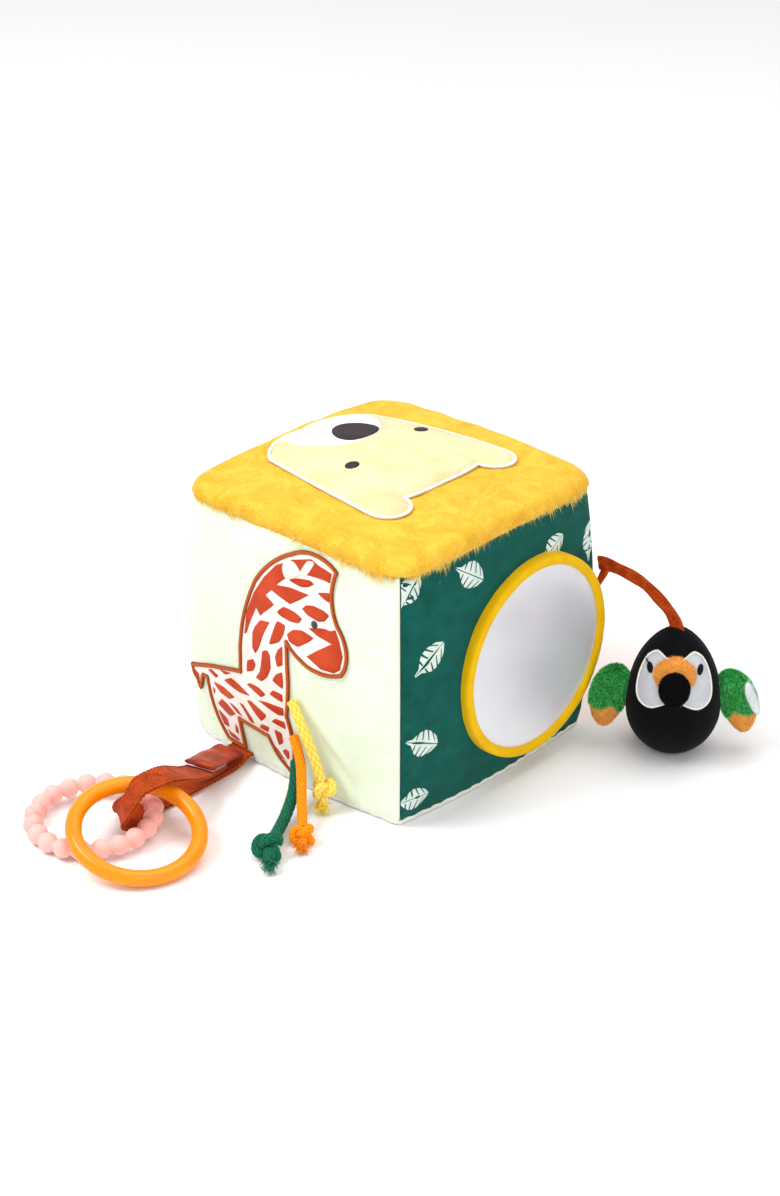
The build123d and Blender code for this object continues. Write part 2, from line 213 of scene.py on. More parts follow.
def thread(name, ridge_highlight, edge):
    """Satin stitch: a painted highlight on the ridge and painted shade on its edges, laid in close slanting
    threads.
    """
    s = Shade(name, 0.5, Sheen_Weight=0.05)
    # painted light and shade: the across mask gives the ridge colour as a painted highlight and the edge
    # colour as painted shade
    tone = s.ramp(s.attribute("across"), [(0.15, edge), (0.75, ridge_highlight)])
    s.colour(s.mix(s.math("MULTIPLY", s.noise(0.7, 2), 0.3), tone, edge))
    return s.bump(s.attribute("along"), 0.3, 0.2).mat


def braided(name, light, dark, fleck):
    """Cord yarn: painted shade in the gaps between the strands and painted light on the strand tops, with
    loose flecks.
    """
    s = Shade(name, 0.9, Sheen_Weight=0.05)
    # painted shade and light: the strand height darkens the gaps and lightens the tops
    tone = s.ramp(s.attribute("across"), [(0.1, dark), (0.7, light)])
    lint = s.math("MULTIPLY", s.math("GREATER_THAN", s.noise(0.8, 4, 1.0), 0.62), 0.5)
    s.colour(s.mix(lint, tone, fleck))
    return s.bump(s.noise(0.5, 4), 0.4, 0.2).mat


MATS = {}


def add(name, recipe, *facts, **more):
    MATS[name] = recipe(name, *facts, **more)


# fur fibres: the darker root colour is painted shade among the fibres, the paler tip colour is painted
# light
add("fur", strand_mat, (220, 164, 44), (247, 206, 84), (255, 228, 134))
add("fur_backing", napped, (242, 196, 70), (222, 168, 44))
add("mint_velour", napped, (236, 247, 228), (227, 241, 214), 1.6, 0.1, patch_mm=30)
add("leaf_print", woven, (8, 92, 82), (4, 76, 68), fleck=(50, 124, 114))
add("leaf_white", woven, (232, 242, 236), (208, 226, 216))
add("back_fabric", woven, (240, 156, 44), (228, 138, 28), fleck=(245, 190, 120))
add("base_fabric", woven, (242, 242, 236), (228, 228, 220))
add("filling", napped, (245, 245, 242), (225, 225, 220), 3.0, 0.1)
add("lion_satin", satin, (238, 224, 178), (228, 210, 158), 0.42, 0.05, 0.05)
add("lion_white", satin, (246, 246, 248), (236, 236, 240), 0.42, 0.05)
add("lion_dark", satin, (62, 50, 54), (50, 40, 44), 0.42, 0.0)
# white edging thread: the ridge colour is a painted highlight, the edge colour is painted shade
add("white_edging", thread, (250, 249, 244), (214, 204, 178))
add("giraffe_satin", satin, (250, 246, 240), (240, 232, 224), 0.42, 0.05)
add("giraffe_spots", satin, (204, 76, 40), (186, 60, 26), 0.42, 0.0)
add("giraffe_eye", satin, (84, 88, 100), (62, 66, 78), 0.35, 0.0)
# brown thread: the ridge colour is a painted highlight, the edge colour is painted shade
add("brown_thread", thread, (196, 92, 28), (126, 50, 8))
add("mirror_foam", napped, (225, 225, 220), (205, 205, 200))
add("yellow_ring_fabric", woven, (240, 190, 4), (230, 178, 0), 0.45, rough=0.75)
add("rust_velvet", napped, (190, 74, 16), (136, 42, 4), 0.9, 0.1, 0.85, 0.5, 9)
add("rust_satin", satin, (184, 62, 14), (116, 28, 4), 0.36, 0.1, 0.08)
# rust thread: the ridge colour is a painted highlight, the edge colour is painted shade
add("rust_thread", thread, (206, 98, 36), (126, 40, 6))
add("white_tape", napped, (232, 220, 230), (214, 200, 212), 0.8, 0.1)
add("orange_silicone", silicone, (255, 152, 4), (250, 140, 0), 0.3, 0.28, 4)
add("pink_silicone", silicone, (252, 196, 188), (248, 184, 176), 0.4, 0.5, 4)
# braids: the dark colour is painted shade in the gaps between strands, the light colour is painted light on
# the strand tops
add("yellow_braid", braided, (252, 226, 104), (226, 182, 40), (255, 240, 160))
add("orange_braid", braided, (252, 150, 16), (218, 108, 0), (255, 186, 84))
add("green_braid", braided, (20, 104, 76), (6, 62, 44), (70, 150, 120))
# frayed cord ends: darker root colours are painted shade, paler tip colours are painted light
add("yellow_fray", strand_mat, (226, 180, 40), (250, 220, 88), (255, 238, 150))
add("orange_fray", strand_mat, (214, 104, 0), (250, 146, 14), (255, 180, 70))
add("green_fray", strand_mat, (8, 72, 50), (26, 118, 82), (90, 176, 136))
add("black_velour", napped, (16, 16, 19), (7, 7, 8), 0.8, 0.04, 1.0, 0.4)
add("grey_felt", napped, (202, 204, 210), (184, 187, 194), 0.9, 0.08)
# toucan plush pile (orange, black, green, white): darker root colours are painted shade, paler tip colours
# are painted light
add("orange_plush", strand_mat, (222, 144, 58), (245, 180, 96), (254, 206, 138))
add("orange_nap", napped, (242, 174, 84), (224, 146, 56), 1.0, 0.1)
add("black_plush", strand_mat, (2, 2, 3), (9, 9, 11), (26, 27, 33), 0.9, 0.04)
add("black_thread", satin, (20, 20, 24), (10, 10, 12), 0.5, 0.0)
add("green_plush", strand_mat, (14, 112, 38), (46, 184, 80), (134, 230, 144))
add("green_nap", napped, (34, 160, 64), (14, 118, 42), 1.2, 0.1)
add("white_plush", strand_mat, (190, 200, 200), (226, 232, 232), (244, 248, 248))
add("white_nap", napped, (236, 240, 240), (216, 222, 222), 1.0, 0.1)
add("rattle_plastic", silicone, (236, 236, 230), (226, 226, 220), 0.1, 0.4, 2)
add("rattle_ball", silicone, (220, 60, 50), (200, 44, 36), 0.1, 0.35, 2)


def mirror_film():
    s = Shade("mirror", 0.3, Metallic=0.4)
    s.colour(s.ramp(s.noise(60, 2), [(0.3, (226, 227, 233)), (0.7, (238, 238, 242))]))
    return s.bump(s.noise(26, 2, 0.4), 0.12, 1.2).mat


MATS["mirror"] = mirror_film()

# ---------------------------------------------------------------- mesh making


def mesh_piece(name, points, faces, material, body, slot, smooth=True, attributes=None):
    """A piece in millimetres, riding on one body and made in its one material; slot is not used."""
    data = bpy.data.meshes.new(name)
    data.from_pydata((np.asarray(points, float) * MM).tolist(), [], faces)
    data.update()
    for key, values in (attributes or {}).items():
        data.attributes.new(key, "FLOAT", "POINT").data.foreach_set("value", np.asarray(values, np.float32))
    data.polygons.foreach_set("use_smooth", np.full(len(data.polygons), smooth))
    data.materials.append(MATS[material])
    piece = bpy.data.objects.new(name, data)
    bpy.context.scene.collection.objects.link(piece)
    if body:
        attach(piece, body)
    return piece


def grid_faces(rows, columns, start=0, flip=False, wrap=False):
    """Quads between the rows of a grid of points; wrap joins each row's ends."""
    faces = []
    for i in range(rows - 1):
        for j in range(columns if wrap else columns - 1):
            k = (j + 1) % columns
            quad = [start + i * columns + j, start + (i + 1) * columns + j,
                    start + (i + 1) * columns + k, start + i * columns + k]
            faces.append(quad[::-1] if flip else quad)
    return faces


def bridge(a, b, count):
    """Faces between two closed rings of points that start at a and b."""
    return [[a + j, b + j, b + (j + 1) % count, a + (j + 1) % count] for j in range(count)]


def stacked(rings, flip=False):
    """Points and faces of a solid made of rings in a row, with a cap at each end."""
    count, steps = np.shape(rings)[:2]
    first, last = list(range(steps)), list(range((count - 1) * steps, count * steps))
    faces = grid_faces(count, steps, flip=flip, wrap=True)
    faces += [first[::-1], last] if flip else [first, last[::-1]]
    return np.reshape(rings, (-1, 3)), faces


def dished(outer, inner):
    """Points and faces of a round sheet, from the rings of its two surfaces, middle first."""
    count, steps = outer.shape[:2]
    size, last = count * steps, (count - 1) * steps
    faces = grid_faces(count, steps, wrap=True) + grid_faces(count, steps, size, True, True)
    faces += bridge(last, last + size, steps)
    faces += [list(range(steps)), list(range(size, size + steps))[::-1]]
    return np.concatenate([outer.reshape(-1, 3), inner.reshape(-1, 3)]), [f[::-1] for f in faces]


def around(count):
    """Angles that share out one full turn."""
    return np.arange(count) * TAU / count


def squircle(angle):
    """How far out a rounded square of half width 1 reaches at each angle."""
    return (np.abs(np.cos(angle)) ** SQUARENESS + np.abs(np.sin(angle)) ** SQUARENESS) ** (-1 / SQUARENESS)


def oval(centre, radii, count):
    """The flat outline of an ellipse."""
    turn = np.linspace(0, TAU, count, endpoint=False)
    return np.column_stack([centre[0] + radii[0] * np.cos(turn), centre[1] + radii[1] * np.sin(turn)])


def unit_rows(vectors):
    return vectors / np.linalg.norm(vectors, axis=1)[:, None]


def tangents_of(path):
    return unit_rows(np.gradient(path, axis=0))


def closed_shell(outer, inner):
    """Points and faces of a closed sheet from an outer and an inner grid of points."""
    rows, columns = outer.shape[:2]
    size = rows * columns
    faces = grid_faces(rows, columns) + grid_faces(rows, columns, size, True)
    rim = list(range(columns))
    rim += [i * columns + columns - 1 for i in range(1, rows)]
    rim += [(rows - 1) * columns + j for j in range(columns - 2, -1, -1)]
    rim += [i * columns for i in range(rows - 2, 0, -1)]
    for a, b in zip(rim, rim[1:] + rim[:1]):
        faces.append([a, b, b + size, a + size])
    return np.concatenate([outer.reshape(-1, 3), inner.reshape(-1, 3)]), faces


def edge_distance(points, loop):
    """How far each flat point is from a closed outline."""
    a = np.asarray(loop, float)
    b = np.roll(a, -1, axis=0)
    d = b - a
    best = np.full(len(points), 1e9)
    for start, step in zip(a, d):
        length = max(float(step @ step), 1e-9)
        t = np.clip(((points - start) @ step) / length, 0, 1)
        best = np.minimum(best, np.linalg.norm(points - start - t[:, None] * step, axis=1))
    return best


def inside(points, loop):
    """Which flat points lie inside a closed outline."""
    a = np.asarray(loop, float)
    b = np.roll(a, -1, axis=0)
    result = np.zeros(len(points), bool)
    for (x0, y0), (x1, y1) in zip(a, b):
        if y0 == y1:
            continue
        crosses = (points[:, 1] > min(y0, y1)) & (points[:, 1] <= max(y0, y1))
        result ^= crosses & (points[:, 0] < x0 + (points[:, 1] - y0) * (x1 - x0) / (y1 - y0))
    return result


def fill(loop, spacing):
    """Triangles that fill a closed outline, and the flat points they use."""
    loop = np.asarray(loop, float)
    low, high = loop.min(0), loop.max(0)
    xs = np.arange(low[0], high[0], spacing)
    ys = np.arange(low[1], high[1], spacing * 0.866)
    grid = np.array([(x + spacing / 2 * (j % 2), y) for j, y in enumerate(ys) for x in xs])
    if len(grid):
        grid = grid[inside(grid, loop)]
    if len(grid):
        grid = grid[edge_distance(grid, loop) > spacing * 0.45]
    points = [Vector(p) for p in loop] + [Vector(p) for p in grid]
    flat, _, faces, *_ = delaunay_2d_cdt(points, [], [list(range(len(loop)))], 1, 1e-5)
    return np.array([tuple(p) for p in flat]), [list(f) for f in faces]


def slab(loops, front, back, spacing):
    """Closed raised shapes: front(flat points, loop) and back(...) give the two surfaces' points."""
    points, faces, count = [], [], 0
    for loop in loops:
        flat, triangles = fill(loop, spacing)
        size = len(flat)
        points += [front(flat, loop), back(flat, loop)]
        edges = {}
        for t in triangles:
            for a, b in zip(t, t[1:] + t[:1]):
                edges[(a, b)] = edges.get((a, b), 0) + 1
        for t in triangles:
            faces.append([i + count for i in t])
            faces.append([i + count + size for i in reversed(t)])
        for a, b in edges:
            if (b, a) not in edges:
                faces.append([b + count, a + count, a + count + size, b + count + size])
        count += 2 * size
    return np.concatenate(points), faces


def smooth_path(points, step, closed=False):
    """A Catmull-Rom line through points, about step apart."""
    p = np.asarray(points, float)
    n = len(p)
    out = []
    for i in range(n if closed else n - 1):
        if closed:
            a, b, c, d = p[i - 1], p[i], p[(i + 1) % n], p[(i + 2) % n]
        else:
            a, b, c, d = p[max(i - 1, 0)], p[i], p[i + 1], p[min(i + 2, n - 1)]
        count = max(2, int(np.linalg.norm(c - b) / step))
        for t in np.arange(count) / count:
            out.append(0.5 * (2 * b + (c - a) * t + (2 * a - 5 * b + 4 * c - d) * t * t
                              + (3 * b - a - 3 * c + d) * t ** 3))
    if not closed:
        out.append(p[-1])
    return np.array(out)


def arc_outline(strokes, step=1.6):
    """Flat outline points: two points are a straight stroke, three an arc through them."""
    out = []
    for stroke in strokes:
        a, b = np.array(stroke[0], float), np.array(stroke[-1], float)
        if len(stroke) == 2:
            count = max(1, int(np.linalg.norm(b - a) / step))
            out += [a + (b - a) * t for t in np.arange(count) / count]
            continue
        m = np.array(stroke[1], float)
        k = np.linalg.solve(2 * np.array([m - a, b - a]), np.array([m @ m - a @ a, b @ b - a @ a]))
        radius = np.linalg.norm(a - k)
        angles = [math.atan2(*(q - k)[::-1]) for q in (a, m, b)]
        turn = (angles[2] - angles[0]) % TAU
        if (angles[1] - angles[0]) % TAU > turn:
            turn -= TAU
        count = max(2, int(abs(turn) * radius / step))
        for t in np.arange(count) / count:
            angle = angles[0] + turn * t
            out.append(k + radius * np.array([math.cos(angle), math.sin(angle)]))
    return np.array(out)


def tube(path, radius, sides=12, closed=False, up=None, flat=1.0):
    """Points and faces of a tube; radius(i, angles) gives each ring's radii."""
    path = np.asarray(path, float)
    n = len(path)
    if closed:
        tangents = np.roll(path, -1, 0) - np.roll(path, 1, 0)
    else:
        tangents = np.gradient(path, axis=0)
    tangents /= np.linalg.norm(tangents, axis=1)[:, None] + 1e-12
    angles = around(sides)
    side = np.cross(tangents[0], (0.1, 0.2, 1.0))
    rings = []
    for i in range(n):
        t = tangents[i]
        if up is not None:
            side = np.cross(np.asarray(up[i] if np.ndim(up) == 2 else up, float), t)
        side = side - t * (side @ t)
        side /= np.linalg.norm(side) + 1e-12
        normal = np.cross(t, side)
        r = np.broadcast_to(radius(i, angles), angles.shape)
        rings.append(path[i] + (np.cos(angles) * r)[:, None] * side
                     + (np.sin(angles) * r * flat)[:, None] * normal)
    points = np.array(rings).reshape(-1, 3)
    faces = grid_faces(n, sides, wrap=True)
    if closed:
        return points, faces + bridge((n - 1) * sides, 0, sides)
    ends = len(points)
    points = np.concatenate([points, path[:1], path[-1:]])
    last = (n - 1) * sides
    for j in range(sides):
        k = (j + 1) % sides
        faces.append([ends, j, k])
        faces.append([ends + 1, last + k, last + j])
    return points, faces


def lumps(points, size_mm, seed=0.0):
    """Smooth noise from -1 to 1 at points in millimetres."""
    return np.array([noise.noise(Vector(p) / size_mm + Vector((seed, seed * 0.7, 0))) for p in points])


def strands(name, roots, normals, lean, length, width, material, body, slot, sag=0.0, curl=0.35):
    """Fibres as tapering blades. lean is each fibre's drift along the surface, per unit length."""
    count = len(roots)
    length = np.broadcast_to(length, count)[:, None]
    random = RNG.normal(size=(count, 3))
    lean = lean + curl * (random - normals * (random * normals).sum(1)[:, None])
    across = np.cross(normals + lean, RNG.normal(size=(count, 3)))
    across /= np.linalg.norm(across, axis=1)[:, None] + 1e-9
    stops = np.array([0.0, 0.4, 0.75])
    rows = []
    for t in stops:
        middle = roots + normals * length * (t - 0.35 * t * t) + lean * length * t * t
        middle[:, 2] -= sag * t * t * length[:, 0]
        half = across * (width / 2 * (1 - 0.5 * t))
        rows += [middle - half, middle + half]
    tip = roots + normals * length * 0.65 + lean * length
    tip[:, 2] -= sag * length[:, 0]
    points = np.stack(rows + [tip], 1)
    points[..., 2] = np.maximum(points[..., 2], FIBRE_FLOOR)
    base = np.arange(count)[:, None] * 7
    quads = np.concatenate([base + [0, 1, 3, 2], base + [2, 3, 5, 4]]).tolist()
    faces = quads + (base + [4, 5, 6]).tolist()
    along = np.tile([0, 0, 0.4, 0.4, 0.75, 0.75, 1.0], count)
    tone = np.repeat(RNG.random(count), 7)
    return mesh_piece(name, points.reshape(-1, 3), faces, material, body, slot, True,
                      {"along": along, "tone": tone})


def scatter(points, faces, count, keep=None):
    """Random places on a mesh with their normals, area by area."""
    points = np.asarray(points, float)
    tris = np.array([f[:3] for f in faces] + [[f[0], f[2], f[3]] for f in faces if len(f) == 4])
    a, b, c = points[tris[:, 0]], points[tris[:, 1]], points[tris[:, 2]]
    normal = np.cross(b - a, c - a)
    area = np.linalg.norm(normal, axis=1)
    normal /= area[:, None] + 1e-12
    pick = RNG.choice(len(tris), count, p=area / area.sum())
    u, v = RNG.random(count), RNG.random(count)
    over = u + v > 1
    u[over], v[over] = 1 - u[over], 1 - v[over]
    spot = a[pick] + u[:, None] * (b - a)[pick] + v[:, None] * (c - a)[pick]
    direction = normal[pick]
    if keep is not None:
        chosen = keep(spot, direction)
        spot, direction = spot[chosen], direction[chosen]
    return spot, direction


# ---------------------------------------------------------------- the cube's surfaces

SIDE_REACH, SIDE_R, MID = 81.0, 560.0, 71.0
SEAM_PULL = 1.2
BASE_LIP = 3.0
TOP_Z, TOP_BEND, TOP_HALF = 153.5, 1800.0, 77.6
DIRECTIONS = {
    "front": ((0, -1, 0), (1, 0, 0)),
    "right": ((1, 0, 0), (0, 1, 0)),
    "back": ((0, 1, 0), (-1, 0, 0)),
    "left": ((-1, 0, 0), (0, -1, 0)),
}


def seam_at(z):
    """Half the cube's width where two crowned sides meet at a height."""
    c = SIDE_REACH - SIDE_R
    rest = c * c + (z - MID) ** 2 - SIDE_R ** 2
    return (2 * c + np.sqrt(4 * c * c - 8 * rest)) / 4


def relief(face, u, z):
    """How far a side stands out from its crowned shape: seams pull in, with puckers and soft lumps."""
    seed = {"front": 1.0, "right": 4.0, "back": 7.0, "left": 9.0}[face]
    d = np.maximum(seam_at(z) - SEAM_PULL - np.abs(u), 0)
    flat = np.stack([u, z, np.full_like(u, seed * 31)], -1)
    out = -SEAM_PULL * np.exp(-d / 2.4) - 0.9 * np.exp(-np.maximum(z - BASE_LIP, 0) / 2.2)
    fade = 1 - np.exp(-d / 1.5)
    wander = 2.2 * lumps(flat, 16, seed)
    out += 0.5 * fade * np.exp(-d / 7) * np.sin(z * TAU / 7.5 + wander)
    low = np.exp(-z / 8) * (1 - np.exp(-z / 2))
    out += 0.6 * fade * low * np.sin(u * TAU / 9 + wander)
    out += 0.9 * fade * lumps(flat, 34, seed + 2) + 0.25 * fade * lumps(flat, 9, seed + 5)
    if face == "front":
        run = np.clip((u - 12) / 36, 0, 1)
        off = z - (50 - 40 * run)
        out -= 1.5 * np.exp(-(off / 5.0) ** 2) * np.sin(run * math.pi)
        out += 0.9 * np.exp(-((off - 9) / 6.0) ** 2) * np.sin(run * math.pi)
        out -= 1.1 * np.exp(-((u - 52) / 3.5) ** 2) * np.exp(-((z - 128) / 12) ** 2)
    return out


def on_side(face, u, z, height):
    """Points that stand height off one side, u across it and z up."""
    normal, across = (np.array(v, float) for v in DIRECTIONS[face])
    u, z = np.asarray(u, float), np.asarray(z, float)
    out = SIDE_REACH - SIDE_R + np.sqrt(SIDE_R ** 2 - u ** 2 - (z - MID) ** 2)
    out = out + relief(face, u.ravel(), z.ravel()).reshape(u.shape) + height
    return out[..., None] * normal + u[..., None] * across + z[..., None] * np.array([0, 0, 1.0])


def side_panel(name, face, cloth, node):
    rows, columns = 96, 104
    s = np.linspace(-1, 1, columns)
    s = np.sign(s) * np.abs(s) ** 0.85
    t = np.linspace(0, 1, rows)
    top = 146.0 - 5.5 * s ** 2
    z = BASE_LIP + t[:, None] * (top[None, :] - BASE_LIP)
    u = s[None, :] * (seam_at(z) - SEAM_PULL)
    outer = on_side(face, u, z, 0.0)
    inner = on_side(face, u * 0.985, z, -1.3)
    piece = mesh_piece(name, *closed_shell(outer[:, ::-1], inner[:, ::-1]), cloth, "root", cloth)
    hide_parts(node)


# ---------------------------------------------------------------- cords come first


CORDS = {
    "yellow": {
        "diameter": 5.0,
        "route": [(9, -84, 54.5), (18.5, -86.5, 44), (25.5, -86, 31), (30.5, -85.5, 17)],
        "knot_r": 5.6,
        "tail": (33.5, -88.5, 3.5),
        "length": 0.0435,
        "plait": (5, 5.2, 0.11),
        "fuzz": 900,
    },
    "orange": {
        "diameter": 5.0,
        "route": [(9, -83, 33), (18, -87.5, 27.5), (26, -95, 19), (34, -103.5, 10.5), (43, -112, 6.2)],
        "knot_r": 5.8,
        "tail": (52, -122.5, 4.2),
        "length": 0.0525,
        "plait": (8, 3.6, 0.07),
        "fuzz": 300,
    },
    "green": {
        "diameter": 6.0,
        "route": [(10, -82.5, 18.5), (18, -91, 13), (25, -103, 7.5), (32.5, -117, 5), (40, -131, 6.2)],
        "knot_r": 7.2,
        "tail": (53, -145.5, 5.2),
        "length": 0.0595,
        "plait": (8, 4.4, 0.07),
        "fuzz": 300,
    },
}


def nurbs_line(points):
    """The points of the smooth line that a NURBS curve makes of its control points, in millimetres."""
    curve = bpy.data.curves.new("route", "CURVE")
    curve.dimensions = "3D"
    curve.resolution_u = 24
    spline = curve.splines.new("NURBS")
    spline.points.add(len(points) - 1)
    for control, point in zip(spline.points, points):
        control.co = (point[0] * MM, point[1] * MM, point[2] * MM, 1)
    spline.order_u = 3
    spline.use_endpoint_u = True
    holder = bpy.data.objects.new("route", curve)
    bpy.context.scene.collection.objects.link(holder)
    bpy.context.view_layer.update()
    line = bpy.data.meshes.new_from_object(holder.evaluated_get(bpy.context.evaluated_depsgraph_get()))
    out = np.array([v.co for v in line.vertices]) / MM
    bpy.data.objects.remove(holder)
    bpy.data.meshes.remove(line)
    return out


def plait(count, pitch, depth, radius, line):
    """Radii of a plaited tube: two families of strands that pass over and under each other."""
    run = np.concatenate([[0], np.cumsum(np.linalg.norm(np.diff(line, axis=0), axis=1))])

    def strand_height(i, angles):
        a = count * angles / TAU + run[i] / pitch
        b = count * angles / TAU - run[i] / pitch
        over = (np.floor(a) + np.floor(b)) % 2
        return np.where(over > 0.5, np.abs(np.sin(math.pi * a)), np.abs(np.sin(math.pi * b)))

    def radii(i, angles):
        return radius * (1 - depth + 1.7 * depth * strand_height(i, angles))

    return radii, strand_height


def plaited_tube(line, count, pitch, depth, radius, sides=40):
    radii, height = plait(count, pitch, depth, radius, line)
    points, faces = tube(line, radii, sides)
    angles = around(sides)
    # strand heights, which the braid material turns into painted shade in the gaps and painted light on the
    # tops
    across = np.concatenate([height(i, angles) for i in range(len(line))] + [[0.5, 0.5]])
    return points, faces, across


def rotate_to(points, axis, turn=0.0):
    """Turns points whose own axis is Z so that it lies along axis."""
    axis = np.asarray(axis, float) / np.linalg.norm(axis)
    side = np.cross((0, 0, 1.0), axis)
    if np.linalg.norm(side) < 1e-6:
        side = np.array([1.0, 0, 0])
    side /= np.linalg.norm(side)
    other = np.cross(axis, side)
    c, s = math.cos(turn), math.sin(turn)
    x = points[:, 0] * c - points[:, 1] * s
    y = points[:, 0] * s + points[:, 1] * c
    return x[:, None] * side + y[:, None] * other + points[:, 2:3] * axis


def make_cord(name, cord):
    """The braid, a trefoil knot with the cord's tail, its frayed end and loose fibres."""
    route = cord["route"]
    radius = cord["diameter"] / 2
    line = nurbs_line(route)
    fine = smooth_path(line, 0.28)
    count, pitch, depth = cord["plait"]
    points, faces, across = plaited_tube(fine, count, pitch, depth, radius)
    body = f"{name}_cord"
    tube_piece = mesh_piece(f"{name}_cord_braid", points, faces, f"{name}_braid", body, f"{name}_braid",
                            attributes={"across": across})
    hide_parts(f"{name}_cord")

    way = line[-1] - line[-2]
    way /= np.linalg.norm(way)
    centre = line[-1] + way * cord["knot_r"] * 0.75
    t = np.linspace(0.35, TAU - 0.35, 150)
    size = cord["knot_r"] * 0.29
    loop = np.column_stack([np.sin(t) + 2 * np.sin(2 * t), np.cos(t) - 2 * np.cos(2 * t),
                            -1.35 * np.sin(3 * t)])
    loop = rotate_to(loop * size, way, 0.6) + centre
    knot_line = smooth_path(loop, 0.3)
    points, faces, across = plaited_tube(knot_line, count, pitch, depth, radius * 0.86, 28)
    tail_end = np.array(cord["tail"], float)
    tail_way = tail_end - centre
    tail_way /= np.linalg.norm(tail_way)
    tail_start = centre + tail_way * cord["knot_r"] * 0.5
    tail_line = smooth_path([tail_start, (tail_start + tail_end) / 2, tail_end], 0.3)
    extra, extra_faces, extra_across = plaited_tube(tail_line, count, pitch, depth, radius * 0.95, 28)
    faces = faces + [[i + len(points) for i in f] for f in extra_faces]
    points = np.concatenate([points, extra])
    across = np.concatenate([across, extra_across])
    points[:, 2] = np.maximum(points[:, 2], 0.15)
    knot = mesh_piece(f"{name}_cord_knot", points, faces, f"{name}_braid", body, f"{name}_braid",
                      attributes={"across": across})
    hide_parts(f"{name}_knot")

    amount = 260
    roots = tail_end + RNG.normal(size=(amount, 3)) * radius * 0.45 - tail_way * 2.2
    roots[:, 2] = np.maximum(roots[:, 2], 0.5)
    ways = tail_way + RNG.normal(size=(amount, 3)) * 0.42
    ways /= np.linalg.norm(ways, axis=1)[:, None]
    fray = strands(f"{name}_cord_fray", roots, ways, ways * 0.1, 4.6, 0.55, f"{name}_fray", body,
                   f"{name}_braid", sag=0.25, curl=0.3)
    spots, normals = scatter(points, faces, cord["fuzz"])
    fuzz = strands(f"{name}_cord_fuzz", spots, normals, np.zeros_like(spots), 1.0, 0.16, f"{name}_fray",
                   body, f"{name}_braid", curl=0.8)


for cord_name, cord_facts in CORDS.items():
    make_cord(cord_name, cord_facts)

# ---------------------------------------------------------------- stuffed cube


def filling_wadding():
    """The loose fibre inside the cover, a little smaller than the panels."""
    rings = []
    columns = 96
    angle = around(columns)
    square = squircle(angle)
    heights = [(4.0, 0.0), (4.0, 0.5), (4.0, 0.93), (8.0, 0.965)]
    heights += [(z, 1.0) for z in np.linspace(16, 130, 20)]
    heights += [(140, 0.97), (147, 0.9), (149, 0.5), (150, 0.0)]
    for z, share in heights:
        half = (seam_at(z) - 4.5) * share
        rings.append(np.stack([np.cos(angle) * square * half, np.sin(angle) * square * half,
                               np.full(columns, z)], 1))
    faces = grid_faces(len(rings), columns, flip=True, wrap=True)
    piece = mesh_piece("filling_wadding", np.reshape(rings, (-1, 3)), faces, "filling", "root", "filling")
    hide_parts("filling_core")


filling_wadding()
for panel_name, panel_face, panel_cloth, panel_node in (
        ("giraffe_side_fabric", "front", "mint_velour", "giraffe_panel"),
        ("mirror_side_fabric", "right", "leaf_print", "mirror_panel"),
        ("left_side_fabric", "left", "leaf_print", "left_leaf_panel"),
        ("back_side_fabric", "back", "back_fabric", "back_panel")):
    side_panel(panel_name, panel_face, panel_cloth, panel_node)


def base_fabric():
    """The base's cloth, flat below, its edge turned up to the seams with the sides."""
    per_side = 60
    rim, lip = [], []
    for face in ("front", "right", "back", "left"):
        s = np.linspace(-1, 1, per_side, endpoint=False)
        for z, out in ((0.4, rim), (BASE_LIP + 0.6, lip)):
            u = s * (seam_at(np.full(per_side, z)) - SEAM_PULL)
            out.append(on_side(face, u, np.full(per_side, max(z, BASE_LIP)), -0.15))
    rim, lip = np.concatenate(rim), np.concatenate(lip)
    rim[:, 2], lip[:, 2] = 0.9, BASE_LIP + 0.8
    rows = [lip, (lip + rim) / 2 + (rim - rim.mean(0)) * [0.002, 0.002, 0], rim]
    for share in (0.99, 0.9, 0.7, 0.45, 0.2, 0.02):
        rows.append(rim * [share, share, 0] + [0, 0, 0.25])
    outer = np.array(rows)
    inner = outer * [0.985, 0.985, 1] + [0, 0, 1.0]
    inner[0, :, 2] = outer[0, :, 2]
    count = outer.shape[1]
    size = outer.shape[0] * count
    faces = grid_faces(outer.shape[0], count, wrap=True)
    faces += grid_faces(outer.shape[0], count, size, True, True)
    for j in range(count):
        k = (j + 1) % count
        faces.append([j, k, k + size, j + size])
    last = (outer.shape[0] - 1) * count
    faces += [list(range(last, last + count)), list(range(last + size, last + size + count))[::-1]]
    points = np.concatenate([outer.reshape(-1, 3), inner.reshape(-1, 3)])
    piece = mesh_piece("base_fabric", points, faces, "base_fabric", "root", "base_fabric")
    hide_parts("base_panel")


base_fabric()

# ---------------------------------------------------------------- lion face and fur

LION_STROKES = [
    [(-66, 0), (-64.5, 24), (-52, 38.5)],
    [(-52, 38.5), (-12, 46.5), (30, 51.5)],
    [(30, 51.5), (42, 42), (31, 28)],
    [(31, 28), (33, 14), (33, 0)],
]
LION_MIRRORED = [[(x, -y) for x, y in reversed(s)] for s in reversed(LION_STROKES)]
LION = arc_outline(LION_STROKES + LION_MIRRORED) + [0, 4]


MUZZLE_AT, MUZZLE_R = (-50, 7.5), 27
FUR_PLACES, HEM_PLACES = 92000, 130000


def top_height(x, y):
    return TOP_Z - (x ** 2 + y ** 2) / TOP_BEND


